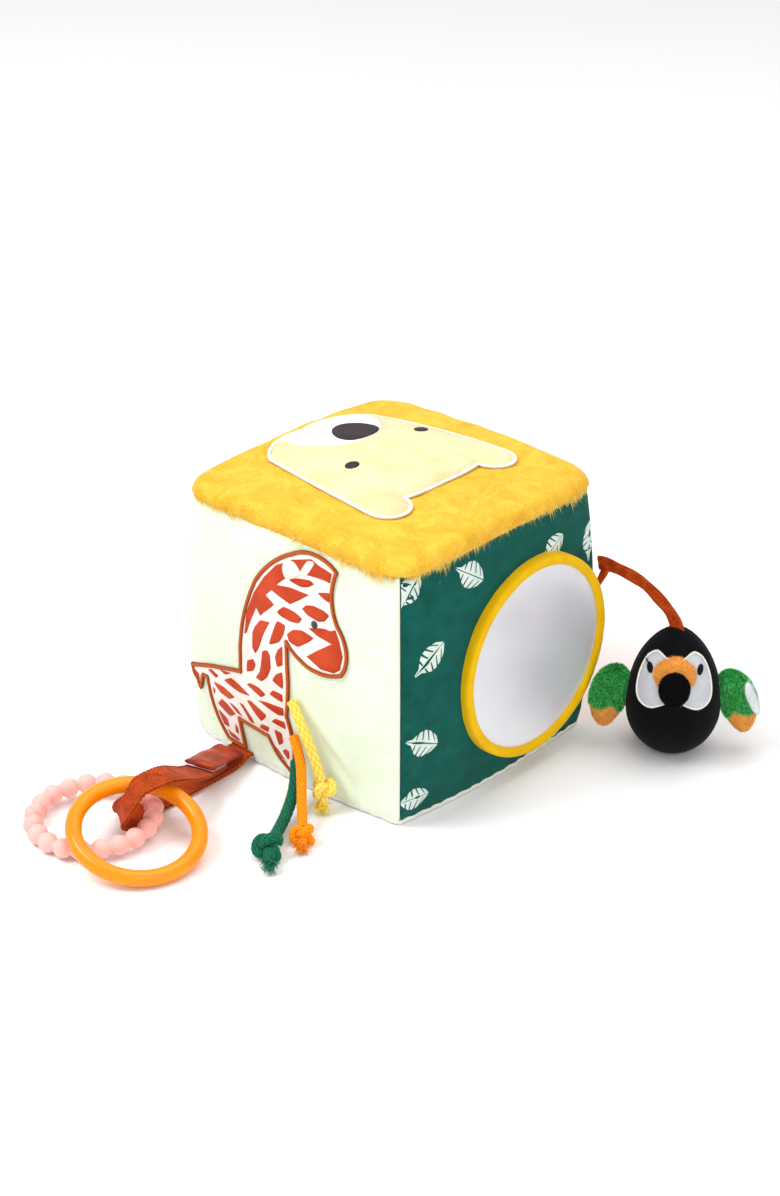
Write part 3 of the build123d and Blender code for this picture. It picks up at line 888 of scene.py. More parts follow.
def lion_points(flat, height):
    """Points height above the lion's padded cushion."""
    d = edge_distance(flat, LION)
    puff = 2.6 * (1 - np.exp(-d / 2.0)) + 4.2 * (1 - np.exp(-d / 13)) + 0.5 * lumps(
        np.column_stack([flat, np.full(len(flat), 3.0)]), 24)
    creases = 0.5 * np.exp(-d / 5) * lumps(np.column_stack([flat, np.full(len(flat), 40.0)]), 7)
    z = top_height(*flat.T) + puff + creases + height
    return np.column_stack([flat, z])


def print_on(name, loops, surface, lift, spacing, material, slot):
    """A printed shape: a thin slab whose face stands lift above a surface."""
    points, faces = slab(loops, lambda p, _: surface(p, lift), lambda p, _: surface(p, -0.3), spacing)
    mesh_piece(name, points, faces, material, "root", slot)


def satin_edge(name, line, radius, swell, pitch, turns, sides, up, flat, across, material, node):
    """A satin-stitched edge: a tube with close slanting ridges, along a closed line; across sets where the
    thread's painted highlight and painted shade fall.
    """
    points, faces = tube(line, lambda i, a: radius + swell * np.sin(i * pitch + a * turns), sides, True,
                         up, flat)
    slant = np.arange(len(line))[:, None] * pitch + around(sides) * turns
    # across maps each side of the tube to the thread's painted highlight or painted shade
    piece = mesh_piece(name, points, faces, material, "root", material, attributes={
        "across": np.tile(across(np.sin(around(sides))), len(line)),
        "along": (0.5 + 0.5 * np.sin(slant)).ravel()})
    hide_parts(node)


def lion():
    """The padded face, its edge, and the prints of muzzle, nose and eyes."""
    points, faces = slab([LION], lambda p, _: lion_points(p, 0.0),
                         lambda p, _: np.column_stack([p, top_height(*p.T) - 1.0]), 1.8)
    pad = mesh_piece("lion_cushion", points, faces, "lion_satin", "root", "lion_satin")
    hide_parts("lion_face_pad")

    edge = np.column_stack([LION, top_height(*LION.T) + 0.9])
    # painted light: the stitch's upper side gets the painted highlight, its lower side gets painted shade
    satin_edge("lion_edge_stitch", smooth_path(edge, 0.45, True), 1.05, 0.12, 1.9, 2, 10, (0, 0, 1), 0.9,
               lambda s: np.clip(s, 0, 1), "white_edging", "lion_face_edging")

    disc = oval(MUZZLE_AT, (MUZZLE_R, MUZZLE_R), 72)
    safe = inside(disc, LION) & (edge_distance(disc, LION) > 0.8)
    chin = LION[np.linalg.norm(LION - MUZZLE_AT, axis=1) < MUZZLE_R + 0.5]
    middle = np.array([-44.0, 7.5])
    chin = middle + (chin - middle) * 0.985
    both = np.concatenate([disc[safe], chin])
    order = np.argsort(np.arctan2(both[:, 1] - middle[1], both[:, 0] - middle[0]))
    print_on("lion_muzzle_print", [both[order]], lion_points, 0.14, 1.4, "lion_white", "lion_satin")
    half = [(-23.6, 0), (-24.4, 6), (-27.4, 11), (-33, 12.9), (-40, 10.6), (-45.4, 5.6), (-47.2, 0)]
    nose = half + [(x, -y) for x, y in half[-2:0:-1]]
    nose = smooth_path(np.array(nose) + [0, 9.8], 1.2, True)
    print_on("lion_nose_print", [nose], lion_points, 0.32, 1.4, "lion_dark", "lion_satin")
    eyes = [oval(centre, (3.3, 4.1), 36) for centre in ((-6.8, -21.6), (-12.2, 36.4))]
    print_on("lion_eyes_print", eyes, lion_points, 0.32, 1.4, "lion_dark", "lion_satin")


lion()


def fur_backing():
    """The top's cloth: domed, rounded over the edges and turned in to the seams with the sides."""
    angle = around(200)
    unit = np.column_stack([np.cos(angle), np.sin(angle)]) * squircle(angle)[:, None]
    half = TOP_HALF
    edge = unit * half * 0.91
    edge_z = top_height(edge[:, 0], edge[:, 1])
    rings = []
    for share in np.linspace(0.02, 0.91, 26):
        flat = unit * half * share
        rings.append(np.column_stack([flat, top_height(*flat.T)]))
    for turn in np.linspace(0.15, 1, 9) * math.pi / 2:
        flat = unit * half * (0.91 + 0.09 * math.sin(turn))
        rings.append(np.column_stack([flat, edge_z - 6.5 * (1 - math.cos(turn))]))
    for drop in (0.5, 1.0):
        flat = unit * half * (1 - 0.01 * drop)
        z = (edge_z - 6.5) * (1 - drop) + drop * np.minimum(edge_z - 7.5, 141.0)
        rings.append(np.column_stack([flat, z]))
    outer = np.array(rings)
    bumps = 0.7 * lumps(outer.reshape(-1, 3), 13, 3.0).reshape(outer.shape[:2])
    outer[..., 2] += bumps
    inner = outer * [0.985, 0.985, 1] - [0, 0, 1.2]
    inner[-1, :, 2] = outer[-1, :, 2]
    piece = mesh_piece("fur_backing", *dished(outer, inner), "fur_backing", "root", "fur")
    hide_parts("top_fur_panel")
    return outer.reshape(-1, 3), grid_faces(*outer.shape[:2], flip=True, wrap=True)


def outward_flow(spots):
    """The way the pile is combed: out from the middle and down over the edges, with swirls."""
    flat = spots[:, :2] / (np.linalg.norm(spots[:, :2], axis=1)[:, None] + 1e-6)
    flow = np.column_stack([flat, np.zeros(len(spots))]) * 0.35
    over = np.clip((np.abs(spots[:, :2]).max(1) - 68) / 8, 0, 1)
    flow[:, 2] -= 0.55 * over
    for axis, seed in ((0, 2.0), (1, 6.0), (2, 9.0)):
        flow[:, axis] += 0.55 * lumps(spots, 9, seed) + 0.35 * lumps(spots, 4, seed + 1)
    return flow


def gather(spots, size_mm, seed):
    """The way from each root to the middle of its own tuft."""
    warp = np.stack([lumps(spots, 2 * size_mm, seed + k) for k in range(3)], 1)
    cell = np.floor(spots / size_mm + 0.6 * warp).astype(int)
    group = np.unique(cell, axis=0, return_inverse=True)[1].ravel()
    share = np.bincount(group)[:, None]
    middle = np.stack([np.bincount(group, spots[:, k]) for k in range(3)], 1) / share
    return middle[group] - spots


def combed(spots, normals, flow, length, tuft_mm, seed, pull):
    """Flow laid along the surface, with each root drawn to the middle of its own tuft."""
    flow = flow - normals * (flow * normals).sum(1)[:, None]
    return flow + gather(spots, tuft_mm, seed) * pull / length[:, None]


def fur(points, faces):
    def keep(spots, normals):
        flat = spots[:, :2]
        covered = inside(flat, LION) | (edge_distance(flat, LION) < 1.2)
        return ~covered & (spots[:, 2] > 139)

    spots, normals = scatter(points, faces, FUR_PLACES, keep)
    flow = outward_flow(spots)
    near = np.clip((edge_distance(spots[:, :2], LION) - 1.2) / 7, 0, 1)
    length = (5.0 + 4.0 * near) * RNG.uniform(0.75, 1.15, len(spots))
    length *= 1 + 0.2 * lumps(spots, 3.2, 12.0)
    flow = combed(spots, normals, flow, length, 3.6, 21.0, 0.62)
    quarter = (spots[:, 0] > 0) * 2 + (spots[:, 1] > 0)
    for index, name in enumerate(("left_front", "left_back", "right_front", "right_back")):
        chosen = quarter == index
        strands(f"fur_{name}", spots[chosen], normals[chosen], flow[chosen], length[chosen], 0.42,
                "fur", "root", "fur", sag=0.05, curl=0.16)

    def hem(spots, normals):
        return (spots[:, 2] > 139) & (spots[:, 2] < 149) & (np.abs(spots[:, :2]).max(1) > 73)

    spots, normals = scatter(points, faces, HEM_PLACES, hem)
    length = RNG.uniform(3.4, 5.6, len(spots))
    flow = combed(spots, normals, outward_flow(spots) * 0.5 - [0, 0, 0.55], length, 3.0, 31.0, 0.6)
    strands("fur_hem", spots, normals * 0.6, flow, length, 0.4, "fur", "root", "fur", sag=0.2, curl=0.16)


fur(*fur_backing())

# ---------------------------------------------------------------- giraffe

GIRAFFE = arc_outline([
    [(-30.5, 55.5), (-29, 81), (-20, 110.5)], [(-20, 110.5), (-9, 124), (5.5, 134)],
    [(5.5, 134), (20, 138), (34.5, 133)], [(34.5, 133), (32.5, 119), (37.5, 104.5)],
    [(37.5, 104.5), (43.5, 90.5), (40, 79)], [(40, 79), (27, 75.5), (4, 86)],
    [(4, 86), (4.2, 64), (2, 41.5)], [(2, 41.5), (5.5, 26), (2, 7)],
    [(2, 7), (-8, 16), (-12.5, 24)], [(-12.5, 24), (-34.5, 25.5)], [(-34.5, 25.5), (-32.5, 8)],
    [(-32.5, 8), (-46, 8)], [(-46, 8), (-54, 21.5), (-58, 41)], [(-58, 41), (-62, 40.5)],
    [(-62, 40.5), (-65, 31.5)], [(-65, 31.5), (-72, 42.5)], [(-72, 42.5), (-52, 50), (-30.5, 55.5)],
])
MANE = [
    (-27, 79), (-25.3, 92), (-20.3, 104.5), (-13.3, 115.5), (-5, 124.7), (6, 131.2), (18, 135.2),
    (31.6, 131.6), (31, 126.5), (23, 126.9), (17.5, 126.3), (11, 125.6), (4, 124), (2, 120),
    (-4, 114.3), (5.8, 116), (17.8, 116), (11.4, 111), (5.8, 107.2), (-1.6, 108.7), (-7.5, 110.2),
    (-11.5, 106.2), (-5.2, 103), (-14.7, 93.6), (-18, 96.9), (-21.5, 89), (-25, 80),
]
MUZZLE = [
    (36.3, 103), (25.7, 100.8), (18.7, 98.4), (24.8, 96.1), (34.2, 94.8), (24.8, 88.1), (17.8, 82.4),
    (27, 78.3), (35.5, 78.8), (39.4, 82), (41.2, 90), (39.2, 97.5),
]
SPOTS = [
    [(4.3, 120.6), (10.6, 122.6), (18.2, 124), (21, 122.8), (17.2, 120), (12.2, 118.6), (5.2, 119.4)],
    [(23.3, 119.1), (31, 121.4), (31.3, 116)],
    [(13.8, 107.2), (16.2, 110), (21.8, 111.4), (28.4, 111.2), (32, 109.5), (29.3, 105.7), (25.1, 104),
     (18, 105)],
    [(-3, 100.1), (1.7, 104.6), (9.2, 104), (14.4, 102), (12, 98.7), (6.4, 98), (-0.2, 98.7)],
    [(4.6, 90.4), (8.4, 94.1), (14.9, 95.8), (22.4, 94.1), (19.2, 90.8), (12.1, 85.7), (6, 87)],
    [(-8, 80.1), (-2.8, 95.2), (3.3, 94.7), (2.6, 90), (-0.6, 84)],
    [(-20.8, 73.5), (-20.5, 82), (-18.5, 86.5), (-14.8, 91.2), (-7.6, 92.6), (-9.8, 88.6), (-12.6, 82.9),
     (-15.4, 75.7), (-18.6, 70.7)],
    [(-18.9, 56.6), (-15.8, 61.3), (-14.3, 68.5), (-13.2, 74.3), (-9.6, 76.1), (-7.5, 74.3), (-7.5, 66.3),
     (-10.4, 59.9), (-14.7, 55.9)],
    [(-25.6, 57.5), (-25.3, 64), (-20.4, 66.8), (-18.7, 64), (-20.4, 60)],
    [(-3.7, 74.4), (-1.5, 79.5), (1.6, 82.6), (1.5, 71.6), (-2.6, 69.1)],
    [(-6.8, 59.6), (-3.9, 64.2), (0.8, 67.2), (0.6, 57)],
    [(-47, 50.2), (-37.6, 51.6), (-42.7, 49)],
    [(-57, 46), (-54, 47.4), (-48.3, 46), (-50.5, 43.5)],
    [(-43.9, 45.2), (-38, 49), (-33.3, 48.1), (-23.6, 43.8), (-31.9, 42.9)],
    [(-25.9, 49.9), (-23.4, 51.7), (-16.9, 51.4), (-11.9, 49.2), (-15.5, 46.3)],
    [(-9.2, 50.7), (-6.4, 53.9), (0, 53.6), (-0.2, 48.9)],
    [(-18, 43.9), (-9.7, 45.3), (0, 45.6), (0.2, 41.4), (-3.3, 40.4)],
    [(-53.4, 40.4), (-44.4, 40.8), (-35.8, 38.3), (-40.5, 34.9), (-48, 36.1)],
    [(-26.4, 40.2), (-23.2, 41.2), (-11.7, 36.9), (-16.3, 31.5)],
    [(-8.4, 34.7), (-5.5, 37.6), (0.8, 37.7), (1.4, 33.6)],
    [(-54.6, 36.5), (-51.9, 35.6), (-53.8, 32)],
    [(-51.2, 27.6), (-47.3, 32.2), (-42.7, 30.8), (-36.9, 27.2), (-41.6, 23.8)],
    [(-41.1, 33), (-35.7, 32), (-31.2, 28), (-35.7, 28.6)],
    [(-32.7, 36.2), (-29.4, 36.2), (-23.4, 30.6), (-22.2, 27.4), (-25.6, 27.6), (-28.4, 31.9)],
    [(-18.2, 27), (-16.3, 30), (-10.5, 30.2), (-12, 26.6)],
    [(-6.9, 30.6), (-1.5, 29.9), (-1.5, 24.1), (-5.1, 21.3)],
    [(-52, 24), (-44.1, 20.6), (-43.7, 15.9), (-48.4, 15.5)],
    [(-38.4, 20.5), (-36.6, 19), (-36.4, 14.6), (-38.8, 15.4)],
    [(-46.4, 13.6), (-42, 13.1), (-36, 11.4), (-38, 10.1), (-44, 10.4)],
    [(-2.9, 18.6), (-0.3, 20.8), (2, 20), (1.6, 15.7), (0.2, 14.3)],
    [(-8.6, 19.3), (-5.7, 17.9), (-0.6, 11.4), (-4.2, 14)],
    [(-69.4, 41), (-65.4, 40.2), (-65.2, 35.4)],
]
EARS = [
    [(-0.1, 123.2), (-0.1, 126.9), (2.7, 129.7), (6.9, 130.2), (10.2, 127.9), (11.6, 125), (6.9, 121.3),
     (2.2, 119.9)],
    [(11.3, 125.3), (15.1, 132.6), (17.5, 134), (20.1, 133.2), (14.6, 124.4)],
]


SPOT_CUT = 0.14


def giraffe_points(flat, height):
    d = edge_distance(flat, GIRAFFE)
    z = 0.45 + 0.75 * (1 - np.exp(-d / 3.0))
    return on_side("front", *flat.T, z + height)


def giraffe():
    """The thin padded shape, its prints and its satin-stitched outline."""
    points, faces = slab([GIRAFFE], lambda p, _: giraffe_points(p, 0.0),
                         lambda p, _: on_side("front", *p.T, -0.4), 1.7)
    piece = mesh_piece("giraffe_satin_shape", points, faces, "giraffe_satin", "root", "giraffe_satin")
    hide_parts("giraffe_applique")

    rounded = []
    for loop in SPOTS:
        cut = []
        for a, b in zip(loop, loop[1:] + loop[:1]):
            a, b = np.array(a, float), np.array(b, float)
            cut += [a + (b - a) * SPOT_CUT, a + (b - a) * (1 - SPOT_CUT)]
        rounded.append(smooth_path(cut, 0.9, True))
    for name, loops, material, lift in (
            ("giraffe_spots_print", rounded, "giraffe_spots", 0.12),
            ("giraffe_mane_print", [np.array(MANE), np.array(MUZZLE)], "giraffe_spots", 0.12),
            ("giraffe_ears_print", [smooth_path(loop, 0.9, True) for loop in EARS], "giraffe_satin", 0.26),
            ("giraffe_eye_print", [oval((22.5, 101.6), (2.0, 2.0), 20)], "giraffe_eye", 0.4)):
        print_on(name, loops, giraffe_points, lift, 1.3, material, "giraffe_satin")

    line = smooth_path(on_side("front", *GIRAFFE.T, 0.75), 0.36, True)
    # painted light: the stitch gets the painted highlight on its crown and painted shade on its flanks
    satin_edge("giraffe_outline_stitch", line, 1.08, 0.13, 2.1, 1, 12, (0, -1, 0), 0.8,
               lambda s: np.clip(np.abs(s) * 1.25 - 0.25, 0, 1), "brown_thread", "giraffe_stitching")


giraffe()

# ---------------------------------------------------------------- leaf print


def leaf(length, width, lobes=5):
    """One split leaf, its stem end at the origin and its tip along +X."""
    def half(t):
        return width / 2 * math.sin(math.pi * (0.16 + 0.84 * t) ** 1.05) ** 0.75

    side = [(-0.04 * length, 0.6)]
    for i in range(lobes):
        a, b = i / lobes, (i + 0.74) / lobes
        for t in (a + 0.02, (a + b) / 2, b):
            y = half(min(t, 0.985))
            side.append(((t * 0.86 + 0.14 * y / (width / 2) * (1 - t)) * length, y))
        if i < lobes - 1:
            t = (i + 0.62) / lobes
            side.append(((t - 0.05) * length, max(0.24 * half(t), 0.7)))
            t = (i + 1.0) / lobes
            side.append(((t - 0.09) * length, max(0.24 * half(t), 0.7)))
    side.append((length, 0.45))
    return side


def leaf_loops(places):
    loops = []
    for u, z, angle, length, width in places:
        c, s = math.cos(math.radians(angle)), math.sin(math.radians(angle))
        upper = leaf(length, width)
        for sign in (1, -1):
            side = [(x, sign * y) for x, y in upper]
            rib = [(length * 0.97, sign * 0.22), (-0.02 * length, sign * 0.22)]
            shape = np.array(side + rib) - [length / 2, 0]
            turned = np.column_stack([shape[:, 0] * c - shape[:, 1] * s + u,
                                      shape[:, 0] * s + shape[:, 1] * c + z])
            loops.append(turned[::sign])
    return loops


def print_leaves(name, face, places):
    """Leaves of a side's print, cut off at the seams; places are (u, z, angle, length, width)."""
    loops = []
    for loop in leaf_loops(places):
        limit = seam_at(loop[:, 1]) - SEAM_PULL - 0.3
        loop[:, 0] = np.clip(loop[:, 0], -limit, limit)
        loops.append(loop)
    print_on(name, loops, lambda p, height: on_side(face, *p.T, height), 0.16, 1.5,
             "leaf_white", "leaf_print")


print_leaves("mirror_side_leaves", "right", [
    (-57.5, 92.5, 214, 22, 14), (-61.5, 47, 158, 21.5, 14.5), (-65, 14.5, 178, 20, 12.5),
    (-28, 129, 146, 21, 14), (-68, 132, 222, 20, 12.5), (36, 119, 205, 20, 13), (70, 110, 262, 21, 13),
    (66, 26, 150, 21, 14), (40, 8.5, 170, 17, 9),
])
print_leaves("left_side_leaves", "left", [
    (-50, 104, 218, 22, 14), (-44, 40, 158, 21.5, 14.5), (-8, 72, 178, 21, 13.5), (-14, 118, 146, 21, 14),
    (-58, 72, 120, 20, 13), (30, 100, 215, 21, 14), (60, 118, 250, 20, 13), (56, 66, 150, 21, 14),
    (22, 36, 200, 21, 14), (60, 24, 165, 20, 13), (-16, 14, 170, 18, 11),
])

# ---------------------------------------------------------------- mirror

MIRROR_Y, MIRROR_Z = 19.0, 66.0
RING_RIPPLE = 0.28
FILM_X, FILM_BULGE, FILM_R = 81.7, 1.0, 49


def mirror():
    """The fabric ring, turned about the mirror's own axis from a profile of (radius, x), and the film."""
    profile = smooth_path([
        (54.6, 74), (54.9, 79), (54.8, 82.6), (54.3, 84.3), (53.2, 84.9), (51.8, 85.0), (50.4, 84.7),
        (49.6, 83.9), (49.4, 82.9), (49.9, 82.0), (51.5, 80.0), (52.8, 74)], 0.6, True)
    steps, columns = 192, len(profile)
    points = np.concatenate([np.column_stack([
        profile[:, 1],
        MIRROR_Y + profile[:, 0] * math.cos(a),
        MIRROR_Z + profile[:, 0] * math.sin(a)]) for a in around(steps)])
    points[:, 0] += RING_RIPPLE * lumps(points, 11, 5.0)
    points[:, 0] += RING_RIPPLE * 0.5 * lumps(points, 4, 8.0)
    faces = grid_faces(steps, columns, wrap=True) + bridge((steps - 1) * columns, 0, columns)
    ring = mesh_piece("mirror_fabric_ring", points, faces, "yellow_ring_fabric", "root",
                      "yellow_ring_fabric")
    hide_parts("mirror_ring")

    rings = []
    angle = around(128)
    for radius in (0.5, 6, 12, 18, 24, 30, 35, 40, 44, 47, 49, 50.6):
        x = FILM_X + FILM_BULGE * (radius / FILM_R) ** 2
        flat = np.column_stack([np.full(len(angle), x), MIRROR_Y + radius * np.cos(angle),
                                MIRROR_Z + radius * np.sin(angle)])
        flat[:, 0] += 0.14 * lumps(flat, 30, 2.0)
        rings.append(flat)
    outer = np.array(rings)
    disc = mesh_piece("mirror_film_disc", *dished(outer, outer - [1.2, 0, 0]), "mirror", "root", "mirror")
    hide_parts("mirror_disc")


mirror()

# ---------------------------------------------------------------- strap, flap and tapes

STRAP_WIDTH, STRAP_THICK = 17.0, 1.6
STRAP_X = -36.0
LEVEL, SKEW = (1, 0, 0), (0.86, -0.5, 0)
STRAP_LOOP = [
    (0, -74, 5.0), (0, -79.5, 4.6), (0, -88.5, 1.4), (0.5, -115, 1.2), (1, -146, 1.2), (2.5, -159, 2.2),
    (5, -166, 6.0), (9.5, -170.5, 12.5), (16.5, -171.5, 21), (18.5, -165, 29.0), (18, -152, 28.9),
    (16.5, -141, 25.5), (13, -127, 18), (7.5, -113, 11.5), (2.5, -99, 7.6),
]
CLOSED_RUN = [(7.5, -113, 11.5), (5, -106, 9.55), (2.5, -99, 7.6)]
STRAP_SIDES = [LEVEL] * 7 + [SKEW] * 3 + [LEVEL] * 5


def band(points, sides, width, thick, step, lift=0.0, crown=0.0, ripple=0.0, seed=1.0, pinch=0.0):
    """Points and faces of a soft flat band along a smooth line, its two surfaces and its way up."""
    path = smooth_path(points, step)
    across = smooth_path(sides, 0.02)
    stops = np.linspace(0, 1, len(across))
    rows = np.linspace(0, 1, len(path))
    across = np.stack([np.interp(rows, stops, across[:, k]) for k in range(3)], 1)
    tangents = tangents_of(path)
    across = unit_rows(across - tangents * (across * tangents).sum(1)[:, None])
    up = np.cross(across, tangents)
    w = np.linspace(-1, 1, 17)
    edge = np.sqrt(np.maximum(1 - np.abs(w) ** 8, 0.0))
    run = np.arange(len(path)) * step
    half = width / 2 * (1 - pinch * (0.5 + 0.5 * np.sin(run / 3.1)))[:, None]
    wave = ripple * lumps(np.column_stack([np.repeat(run, 17), np.tile(w * width / 2, len(path)),
                                           np.full(17 * len(path), seed)]), 6.5, seed).reshape(-1, 17)
    centre = path[:, None] + across[:, None] * (w * half)[..., None]
    height = (lift + crown * (1 - w ** 2) + wave)[..., None]
    top = centre + up[:, None] * (height + (edge * thick / 2)[:, None])
    bottom = centre + up[:, None] * (height - (edge * thick / 2)[:, None])
    return *stacked(np.concatenate([top, bottom[:, -2:0:-1]], 1)), top, bottom, up


def stitch_run(rows, normals, length, gap, radius=0.3):
    """Short raised stitches along a line of points."""
    points, faces = [], []
    run = np.concatenate([[0], np.cumsum(np.linalg.norm(np.diff(rows, axis=0), axis=1))])
    start = gap
    while start + length < run[-1]:
        t = np.linspace(start, start + length, 6)
        line = np.stack([np.interp(t, run, rows[:, k]) for k in range(3)], 1)
        out = np.stack([np.interp(t, run, normals[:, k]) for k in range(3)], 1)
        line = line + out * (0.12 + 0.22 * np.sin(np.linspace(0, math.pi, 6)))[:, None]
        some, more = tube(line, lambda i, a: radius, 6)
        faces += [[i + len(points) for i in f] for f in more]
        points += some.tolist()
        start += length + gap
    return points, faces


def joined(parts):
    """Points and faces of several meshes as one."""
    points, faces = [], []
    for some, more in parts:
        faces += [[i + len(points) for i in f] for f in more]
        points += list(some)
    return points, faces


def soft_band(name, rows, sides, width, thick, material, body, nodes, flat, held, rests_on,
              stitches=False, blend=None, **shape):
    points, faces, top, bottom, up = band([(x + STRAP_X, y, z) for x, y, z in rows], sides, width, thick,
                                          0.55, **shape)
    piece = mesh_piece(name, points, faces, material, None, material)
    seams = []
    if stitches:
        points, faces = joined(stitch_run(surface[:, column], sign * up, 1.7, 0.9)
                               for surface, sign in ((top, 1), (bottom, -1)) for column in (1, 15))
        tone = np.full(len(points), 0.7)
        seams = [mesh_piece(f"{name}_stitches", points, faces, "rust_thread", None, material,
                            attributes={"across": tone, "along": tone})]
    for part in [piece] + seams:
        if blend:
            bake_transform(part)
        else:
            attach(part, body)
    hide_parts(*nodes)


def strap():
    """The folded strap, the flap that closes it, the tapes between them and the flap's hem."""
    soft_band("strap_velvet_loop", STRAP_LOOP, STRAP_SIDES, STRAP_WIDTH - 0.4, STRAP_THICK, "rust_velvet",
              ("root", "strap"), ["ring_strap", "strap_seam_tab"], (0.0166, 0.212), "folded",
              ["orange_ring_moulded"], True, ((-0.036, -0.0775, 0.0046), (-0.036, -0.087, 0.002)),
              ripple=0.25, seed=2.0)
    tape = (STRAP_THICK + 0.8) / 2
    soft_band("tape_on_strap", CLOSED_RUN, [LEVEL] * 3, 14.0, 0.7, "white_tape", "strap", ["loop_tape"],
              (0.014, 0.0154), "laid", ["strap_velvet_loop"], lift=tape)
    soft_band("tape_on_flap", [(8.9, -115.6, 12.3)] + CLOSED_RUN, [LEVEL] * 4, 15.2, 0.7, "white_tape",
              "flap", ["hook_tape"], (0.0152, 0.0182), "laid", ["strap_flap_satin"], lift=tape + 1.15)
    flap = [(8.6, -115.4, 12.2)] + CLOSED_RUN + [(1.2, -92, 6.0), (0.4, -87.6, 5.1), (0, -84.6, 4.3)]
    soft_band("strap_flap_satin", flap, [LEVEL] * 7, 17.6, STRAP_THICK, "rust_satin", ("strap", "flap"),
              ["strap_flap"], (0.0176, 0.039), "laid", ["tape_on_flap"], False,
              ((-0.036, -0.0815, 0.0084), (-0.036, -0.09, 0.009)),
              lift=tape + 2.35, crown=0.5, ripple=0.95, seed=6.0)
    hem = [(9.0 + STRAP_X, -115.9, 12.5), (8.0 + STRAP_X, -113.6, 11.8)]
    points, faces, *_ = band(hem, [LEVEL] * 2, 17.8, 2.3, 0.4, lift=tape + 2.5, ripple=0.3, seed=3.0)
    mesh_piece("strap_flap_hem", points, faces, "rust_satin", "flap", "rust_satin")
    runs = []
    for offset, length, gap in ((0.0, 1.5, 0.7), (1.7, 1.1, 0.9)):
        y = np.interp(offset, [0, 2], [-112.4, -110.2])
        z = np.interp(y, [-113, -99], [11.5, 7.6]) + tape + 3.55
        rows = np.array([[STRAP_X + 7.5 + w, y, z] for w in np.linspace(-8.0, 8.0, 40)])
        runs.append(stitch_run(rows, np.tile([0, 0, 1.0], (40, 1)), length, gap, 0.34))
    points, faces = joined(runs)
    tone = np.full(len(points), 0.9)
    mesh_piece("strap_flap_stitches", points, faces, "rust_thread", "flap", "rust_satin",
               attributes={"across": tone, "along": tone})


# ---------------------------------------------------------------- rings

RING_R, RING_TUBE, RING_X, RING_Y, RING_TILT, RING_TURN = 31.2, 4.2, -7.7, -177.1, 17.4, 70.0
BEADS, BEAD_STEPS, BEAD_R, BEAD_RING_R, BEAD_CORE = 20, 22, 5.1, 30.4, 2.6
BEAD_X, BEAD_Y, BEAD_TILT = -42.0, -175.0, 3.0


def turn_about(points, axis, degrees):
    c, s = math.cos(math.radians(degrees)), math.sin(math.radians(degrees))
    a, b = {"x": (1, 2), "y": (2, 0), "z": (0, 1)}[axis]
    out = np.array(points, float)
    out[:, a] = points[:, a] * c - points[:, b] * s
    out[:, b] = points[:, a] * s + points[:, b] * c
    return out


def moulded_ring(name, radius, section, steps, sides, tilt, turn, x, y, thick, material):
    """A ring lying tilted on the floor, with a mould line round its inside and outside."""
    angle = around(steps)
    circle = np.column_stack([radius * np.cos(angle), radius * np.sin(angle), np.zeros(steps)])
    points, faces = tube(circle, section, sides, True, (0, 0, 1))
    points = turn_about(turn_about(points, "x", tilt), "z", turn)
    height = thick + radius * math.sin(math.radians(tilt)) + 0.06
    piece = mesh_piece(f"{name}_moulded", points + [x, y, height], faces, material, name, material)
    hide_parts(name)


def smooth_section(i, angles):
    parting = 0.05 * np.exp(-((np.sin(angles)) / 0.07) ** 2)
    return RING_TUBE * (1 - 0.012 * np.cos(2 * angles)) + parting


def bead_section(i, angles):
    off = ((i / BEAD_STEPS + 0.5) % 1 - 0.5) * TAU * BEAD_RING_R / BEADS
    bead = math.sqrt(max(BEAD_R ** 2 - off ** 2, 0))
    radius = (bead ** 6 + BEAD_CORE ** 6) ** (1 / 6)
    return radius + 0.05 * np.exp(-((np.sin(angles)) / 0.08) ** 2)


moulded_ring("orange_ring", RING_R, smooth_section, 240, 40, RING_TILT, RING_TURN, RING_X, RING_Y,
             RING_TUBE, "orange_silicone")
moulded_ring("bead_ring", BEAD_RING_R, bead_section, BEADS * BEAD_STEPS, 32, BEAD_TILT, 0.0, BEAD_X,
             BEAD_Y, BEAD_R, "pink_silicone")
strap()

# ---------------------------------------------------------------- toucan

TOUCAN = (121.4, 86.2)
TOUCAN_TURN = 37.0
EGG_HEIGHT, EGG_R, EGG_WIDEST = 70.5, 25.0, 25.0
WING_X, WING_Z = 33.9, 28.6


def egg_radius(z):
    z = np.asarray(z, float)
    low = EGG_R * np.sqrt(np.clip(1 - ((EGG_WIDEST - z) / 26.6) ** 2, 0, 1))
    t = np.clip((z - EGG_WIDEST) / (EGG_HEIGHT - EGG_WIDEST), 0, 1)
    high = EGG_R * np.clip(1 - t ** 2.05, 0, 1) ** 0.60
    return np.where(z < EGG_WIDEST, low, high)


def toucan_place(points):
    return turn_about(np.asarray(points, float), "z", TOUCAN_TURN) + [TOUCAN[0], TOUCAN[1], 0]


def on_egg(flat, height):
    """Points on the egg's front: flat gives the place seen from the front, in the toucan's own axes."""
    r = egg_radius(flat[:, 1])
    share = np.clip(flat[:, 0] / np.maximum(r, 1e-6), -0.98, 0.98)
    angle = np.arcsin(share)
    slope = np.clip((flat[:, 1] - 20) / 60, 0, 0.8)
    out = r + height * (1 - 0.3 * slope)
    return np.column_stack([out * np.sin(angle), -out * np.cos(angle), flat[:, 1] + height * slope])


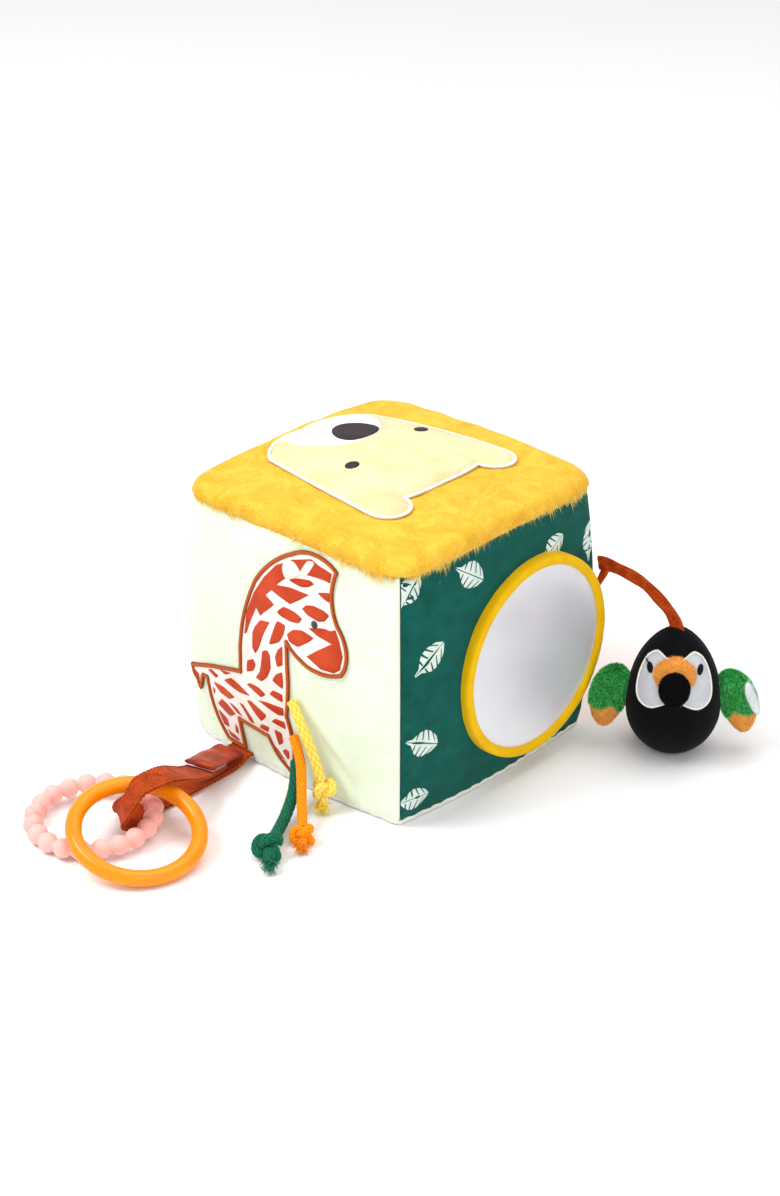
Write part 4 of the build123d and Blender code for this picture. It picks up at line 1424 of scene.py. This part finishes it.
def toucan_body():
    angle = around(96)
    heights = np.concatenate([[0.5, 0.5, 0.8], np.linspace(2.5, 61, 44),
                              EGG_HEIGHT - np.array([7, 5, 3.4, 2, 1, 0.4])])
    rings = []
    for i, z in enumerate(heights):
        r = 2.0 if i == 0 else float(egg_radius(z))
        seam = 1 - 0.018 * np.exp(-(np.sin(angle) / 0.07) ** 2) * (z > 4)
        rings.append(np.column_stack([r * seam * np.cos(angle), r * seam * np.sin(angle),
                                      np.full(len(angle), z)]))
    points, faces = stacked(rings, True)
    points[:, :2] *= 1 + 0.012 * lumps(points, 15, 4.0)[:, None]
    body = mesh_piece("toucan_velour_body", toucan_place(points), faces, "black_velour", "toucan",
                      "black_velour")
    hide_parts("toucan_body", "toucan_filling")


def toucan_face():
    half = [(0, 59), (4, 59.2), (7.4, 61), (9.6, 61.2), (13, 58.6), (15.6, 54.5), (17.8, 48.5), (18.8, 42),
            (18.2, 37.5), (15.6, 34.9), (11.5, 34.5), (6.5, 36.8), (0, 40)]
    outline = half + [(-x, z) for x, z in half[-2:0:-1]]
    patch = smooth_path(outline, 1.2, True)

    def raised(flat, _):
        d = edge_distance(flat, patch)
        return toucan_place(on_egg(flat, 0.35 + 0.55 * (1 - np.exp(-d / 1.5))))

    points, faces = slab([patch], raised, lambda p, _: toucan_place(on_egg(p, -0.5)), 1.3)
    felt = mesh_piece("toucan_face_felt", points, faces, "grey_felt", "toucan", "grey_felt")
    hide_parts("toucan_face_patch")
    line = smooth_path(toucan_place(on_egg(patch, 0.55)), 0.3, True)
    points, faces = tube(line, lambda i, a: 0.55 + 0.09 * np.sin(i * 1.7 + a), 8, True)
    # tone gives the stitch a painted highlight on one side and painted shade on the other
    tone = np.tile(0.6 + 0.4 * np.sin(around(8)), len(line))
    mesh_piece("toucan_face_stitch", points, faces, "white_edging", "toucan", "grey_felt",
               attributes={"across": tone, "along": tone})
    spots, normals = scatter(points, faces, 1100)
    strands("toucan_face_fuzz", spots, normals, np.zeros_like(spots), 0.8, 0.16, "white_plush", "toucan",
            "grey_felt", curl=0.6)

    for side, name in ((-1, "left"), (1, "right")):
        loops = [oval((side * 12.4, 53.4), (1.55, 2.4), 22)]
        if side < 0:
            loops.append(np.array([(-12.9, 55.2), (-14.9, 56.6), (-15.2, 56.2), (-13.3, 54.5)]))

        def dome(flat, loop):
            d = edge_distance(flat, loop)
            return toucan_place(on_egg(flat, 1.0 + 0.45 * (1 - np.exp(-d / 0.7))))

        points, faces = slab(loops, dome, lambda p, _: toucan_place(on_egg(p, 0.3)), 0.6)
        eye = mesh_piece(f"toucan_{name}_eye_stitch", points, faces, "black_thread", "toucan",
                         "black_thread")
        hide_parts(f"toucan_{name}_eye")


def ball(centre, radii, steps=48):
    """Points and faces of a soft rounded ball, in the toucan's own axes."""
    angle = around(steps)
    rings = []
    for turn in np.linspace(-0.49, 0.49, 26) * math.pi:
        rings.append(np.column_stack([np.cos(turn) * np.cos(angle), np.cos(turn) * np.sin(angle),
                                      np.full(steps, math.sin(turn))]) * radii)
    points, faces = stacked(rings, True)
    points *= 1 + 0.03 * lumps(points, 6, 1.0)[:, None]
    return points + centre, faces


def plush(name, shape, count, length, width, nap, pile, body, node, droop):
    """A small stuffed shape with its pile."""
    points, faces = shape
    placed = toucan_place(points)
    piece = mesh_piece(name, placed, faces, nap, body, pile)
    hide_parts(node)
    spots, normals = scatter(placed, faces, count)
    lean = 0.35 * np.stack([lumps(spots, 5, s) for s in (1.0, 3.0, 5.0)], 1)
    lean[:, 2] -= droop
    lean -= normals * (lean * normals).sum(1)[:, None]
    strands(f"{name}_pile", spots, normals, lean, length * RNG.uniform(0.8, 1.15, len(spots)), width, pile,
            body, pile, curl=0.25)


def toucan_beak():
    plush("toucan_beak_plush", ball((0, -13.4, 49.4), (12.2, 10.8, 11.2)), 9000, 1.2, 0.2, "orange_nap",
          "orange_plush", "toucan", "toucan_beak", 0.1)
    plush("toucan_beak_tip_plush", ball((0, -25.0, 47.0), (7.4, 7.2, 8.6)), 9000, 1.5, 0.22,
          "black_velour", "black_plush", "toucan", "toucan_beak_tip", 0.1)


def wing_loops(side):
    """The whole, green and orange outlines of one wing, seen from the front in the wing's own axes."""
    turn = np.linspace(0, TAU, 96, endpoint=False)
    x, z = 9.2 * np.cos(turn), 18.2 * np.sin(turn)
    x = x * (1 + 0.12 * np.sin(turn)) - side * 1.2 * np.sin(turn) ** 2
    outline = np.column_stack([x, z])
    border = -7.0 + 4.2 * np.exp(-((np.linspace(-12, 12, 25) - side * -2.5) / 3.4) ** 2)
    line = np.column_stack([np.linspace(-12, 12, 25), border])
    line = line[inside(line, outline)]
    height = np.interp(outline[:, 0], np.linspace(-12, 12, 25), border)
    above = outline[:, 1] > height
    rolled = np.roll(outline, -np.argmax(np.roll(above, 1) < above), axis=0)
    green, orange = rolled[:above.sum()], rolled[above.sum():]
    return outline, np.concatenate([green, line]), np.concatenate([orange, line[::-1]])


def leaned(flat, depth, side, degrees):
    """Points of a wing in the toucan's own axes: flat is seen from the front, and leans in at the top."""
    lean = math.radians(degrees)
    x = flat[:, 0] * math.cos(lean) + flat[:, 1] * math.sin(lean)
    z = -flat[:, 0] * math.sin(lean) + flat[:, 1] * math.cos(lean)
    return np.column_stack([x + side * WING_X, np.broadcast_to(depth, len(flat)), z + WING_Z])


def wings():
    """Each wing in a green and an orange part, and the white patch on the right one."""
    for side, name, degrees in ((-1, "left", 13), (1, "right", -18)):
        whole, green, orange = wing_loops(side)

        def thickness(flat):
            d = edge_distance(flat, whole)
            return 0.25 + 5.0 * np.sqrt(np.clip(1 - (1 - np.clip(d / 8.5, 0, 1)) ** 2.2, 0, 1))

        for zone, loop, node, count, length in (("green", green, f"{name}_wing", 9000, 2.3),
                                                ("orange", orange, f"{name}_wing_tip", 2600, 1.2)):
            shape = slab([loop], lambda p, _: leaned(p, -thickness(p), side, degrees),
                         lambda p, _: leaned(p, thickness(p), side, degrees), 1.3)
            plush(f"toucan_{name}_wing_{zone}", shape, count, length, 0.26, f"{zone}_nap", f"{zone}_plush",
                  f"{name}_wing", node, 0.45)
    patch = smooth_path([(8.2, 10.5), (9.4, 5), (10.0, -2), (9.2, -7.5), (7.2, -6), (5.6, 0), (5.2, 6),
                         (6.4, 10.5)], 1.0, True)
    shape = slab([patch], lambda p, _: leaned(p, -5.9, 1, -17), lambda p, _: leaned(p, 3.4, 1, -17), 1.0)
    plush("toucan_right_wing_white", shape, 1500, 1.0, 0.2, "white_nap", "white_plush", "right_wing",
          "right_wing_patch", 0.3)


toucan_body()
toucan_face()
toucan_beak()
wings()

# ---------------------------------------------------------------- ribbon of the toucan


def ribbon():
    """The velvet ribbon from the cube's corner to the toucan's crown."""
    root = np.array([78.2, 78.2])
    way = np.array(TOUCAN) - root
    way /= np.linalg.norm(way)

    def upright(pairs):
        return [(root[0] + s * way[0], root[1] + s * way[1], h) for s, h in pairs]

    route = [(-3.0, 95.0), (0, 95.4), (6, 95.2), (13, 94), (20, 91.6), (26.5, 88.5), (32.5, 84.6),
             (37.5, 80.2), (41.0, 75.8), (43.6, 71.0), (44.8, 66.5)]
    path = smooth_path(upright(route), 0.5)
    tangents = tangents_of(path)
    out = np.array([-way[1], way[0], 0.0])
    along = np.linspace(0, 1, len(path))
    angles = around(28)
    rows = []
    for i, (point, tangent) in enumerate(zip(path, tangents)):
        up = np.cross(out, tangent)
        half = 3.9 - 0.5 * math.sin(along[i] * math.pi) + 0.25 * math.sin(i * 0.19)
        bow = 0.35 * math.sin(i * 0.13 + 1)
        w = np.cos(angles) * half
        h = np.sign(np.sin(angles)) * np.abs(np.sin(angles)) ** 0.7 * 0.95
        crease = -0.4 * np.exp(-(w / 0.9) ** 2) * np.sign(np.sin(angles))
        rows.append(point + w[:, None] * up + (h + crease + bow)[:, None] * out)
    piece = mesh_piece("toucan_velvet_ribbon", *stacked(rows), "rust_velvet", "ribbon", "rust_velvet")
    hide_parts("toucan_ribbon")
    line = smooth_path(upright([(1.6, 93.4), (0.4, 90.0), (-1.4, 86.0), (-3.0, 82.6)]), 0.4)
    points, faces = tube(line, lambda i, a: 0.9 + 1.6 * np.abs(np.cos(a)) * (1 - 0.6 * i / len(line)), 16,
                         up=out)
    mesh_piece("toucan_ribbon_fold", points, faces, "rust_velvet", "ribbon", "rust_velvet")


ribbon()

# ---------------------------------------------------------------- pieces kept from the frame

for node, material in (("mirror_backing", "mirror_foam"), ("rattle_shell_upper", "rattle_plastic"),
                       ("rattle_shell_lower", "rattle_plastic"), ("rattle_ball", "rattle_ball")):
    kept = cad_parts[node]
    kept.data.materials.clear()
    kept.data.materials.append(MATS[material])

# ---------------------------------------------------------------- floor and light


def studio():
    """A pale floor, white surroundings and three soft lamps."""
    s = Shade("floor", 0.9)
    s.colour(s.ramp(s.noise(400, 2), [(0.3, (250, 250, 250)), (0.7, (252, 252, 252))]))
    data = bpy.data.meshes.new("floor")
    size = 6.0
    data.from_pydata([(-size, -size, -0.0002), (size, -size, -0.0002), (size, size, -0.0002),
                      (-size, size, -0.0002)], [], [[0, 1, 2, 3]])
    data.materials.append(s.mat)
    floor = bpy.data.objects.new("floor", data)
    bpy.context.scene.collection.objects.link(floor)

    world = bpy.data.worlds.new("studio")
    world.use_nodes = True
    world.node_tree.nodes["Background"].inputs["Color"].default_value = (1.0, 1.0, 1.0, 1.0)
    world.node_tree.nodes["Background"].inputs["Strength"].default_value = 0.62
    bpy.context.scene.world = world
    bpy.context.scene.view_settings.view_transform = "Standard"

    for name, place, size, power in (
            ("key", (-0.7, -0.9, 1.5), 0.9, 19.0),
            ("fill", (1.5, -0.7, 0.9), 1.2, 7.0),
            ("top", (0.2, 0.3, 1.8), 1.6, 13.0)):
        lamp = bpy.data.lights.new(name, "AREA")
        lamp.shape = "DISK"
        lamp.size = size
        lamp.energy = power
        holder = bpy.data.objects.new(name, lamp)
        holder.location = place
        holder.rotation_euler = (Vector(place) - Vector((0, 0, 0.05))).to_track_quat("Z", "Y").to_euler()
        bpy.context.scene.collection.objects.link(holder)


studio()
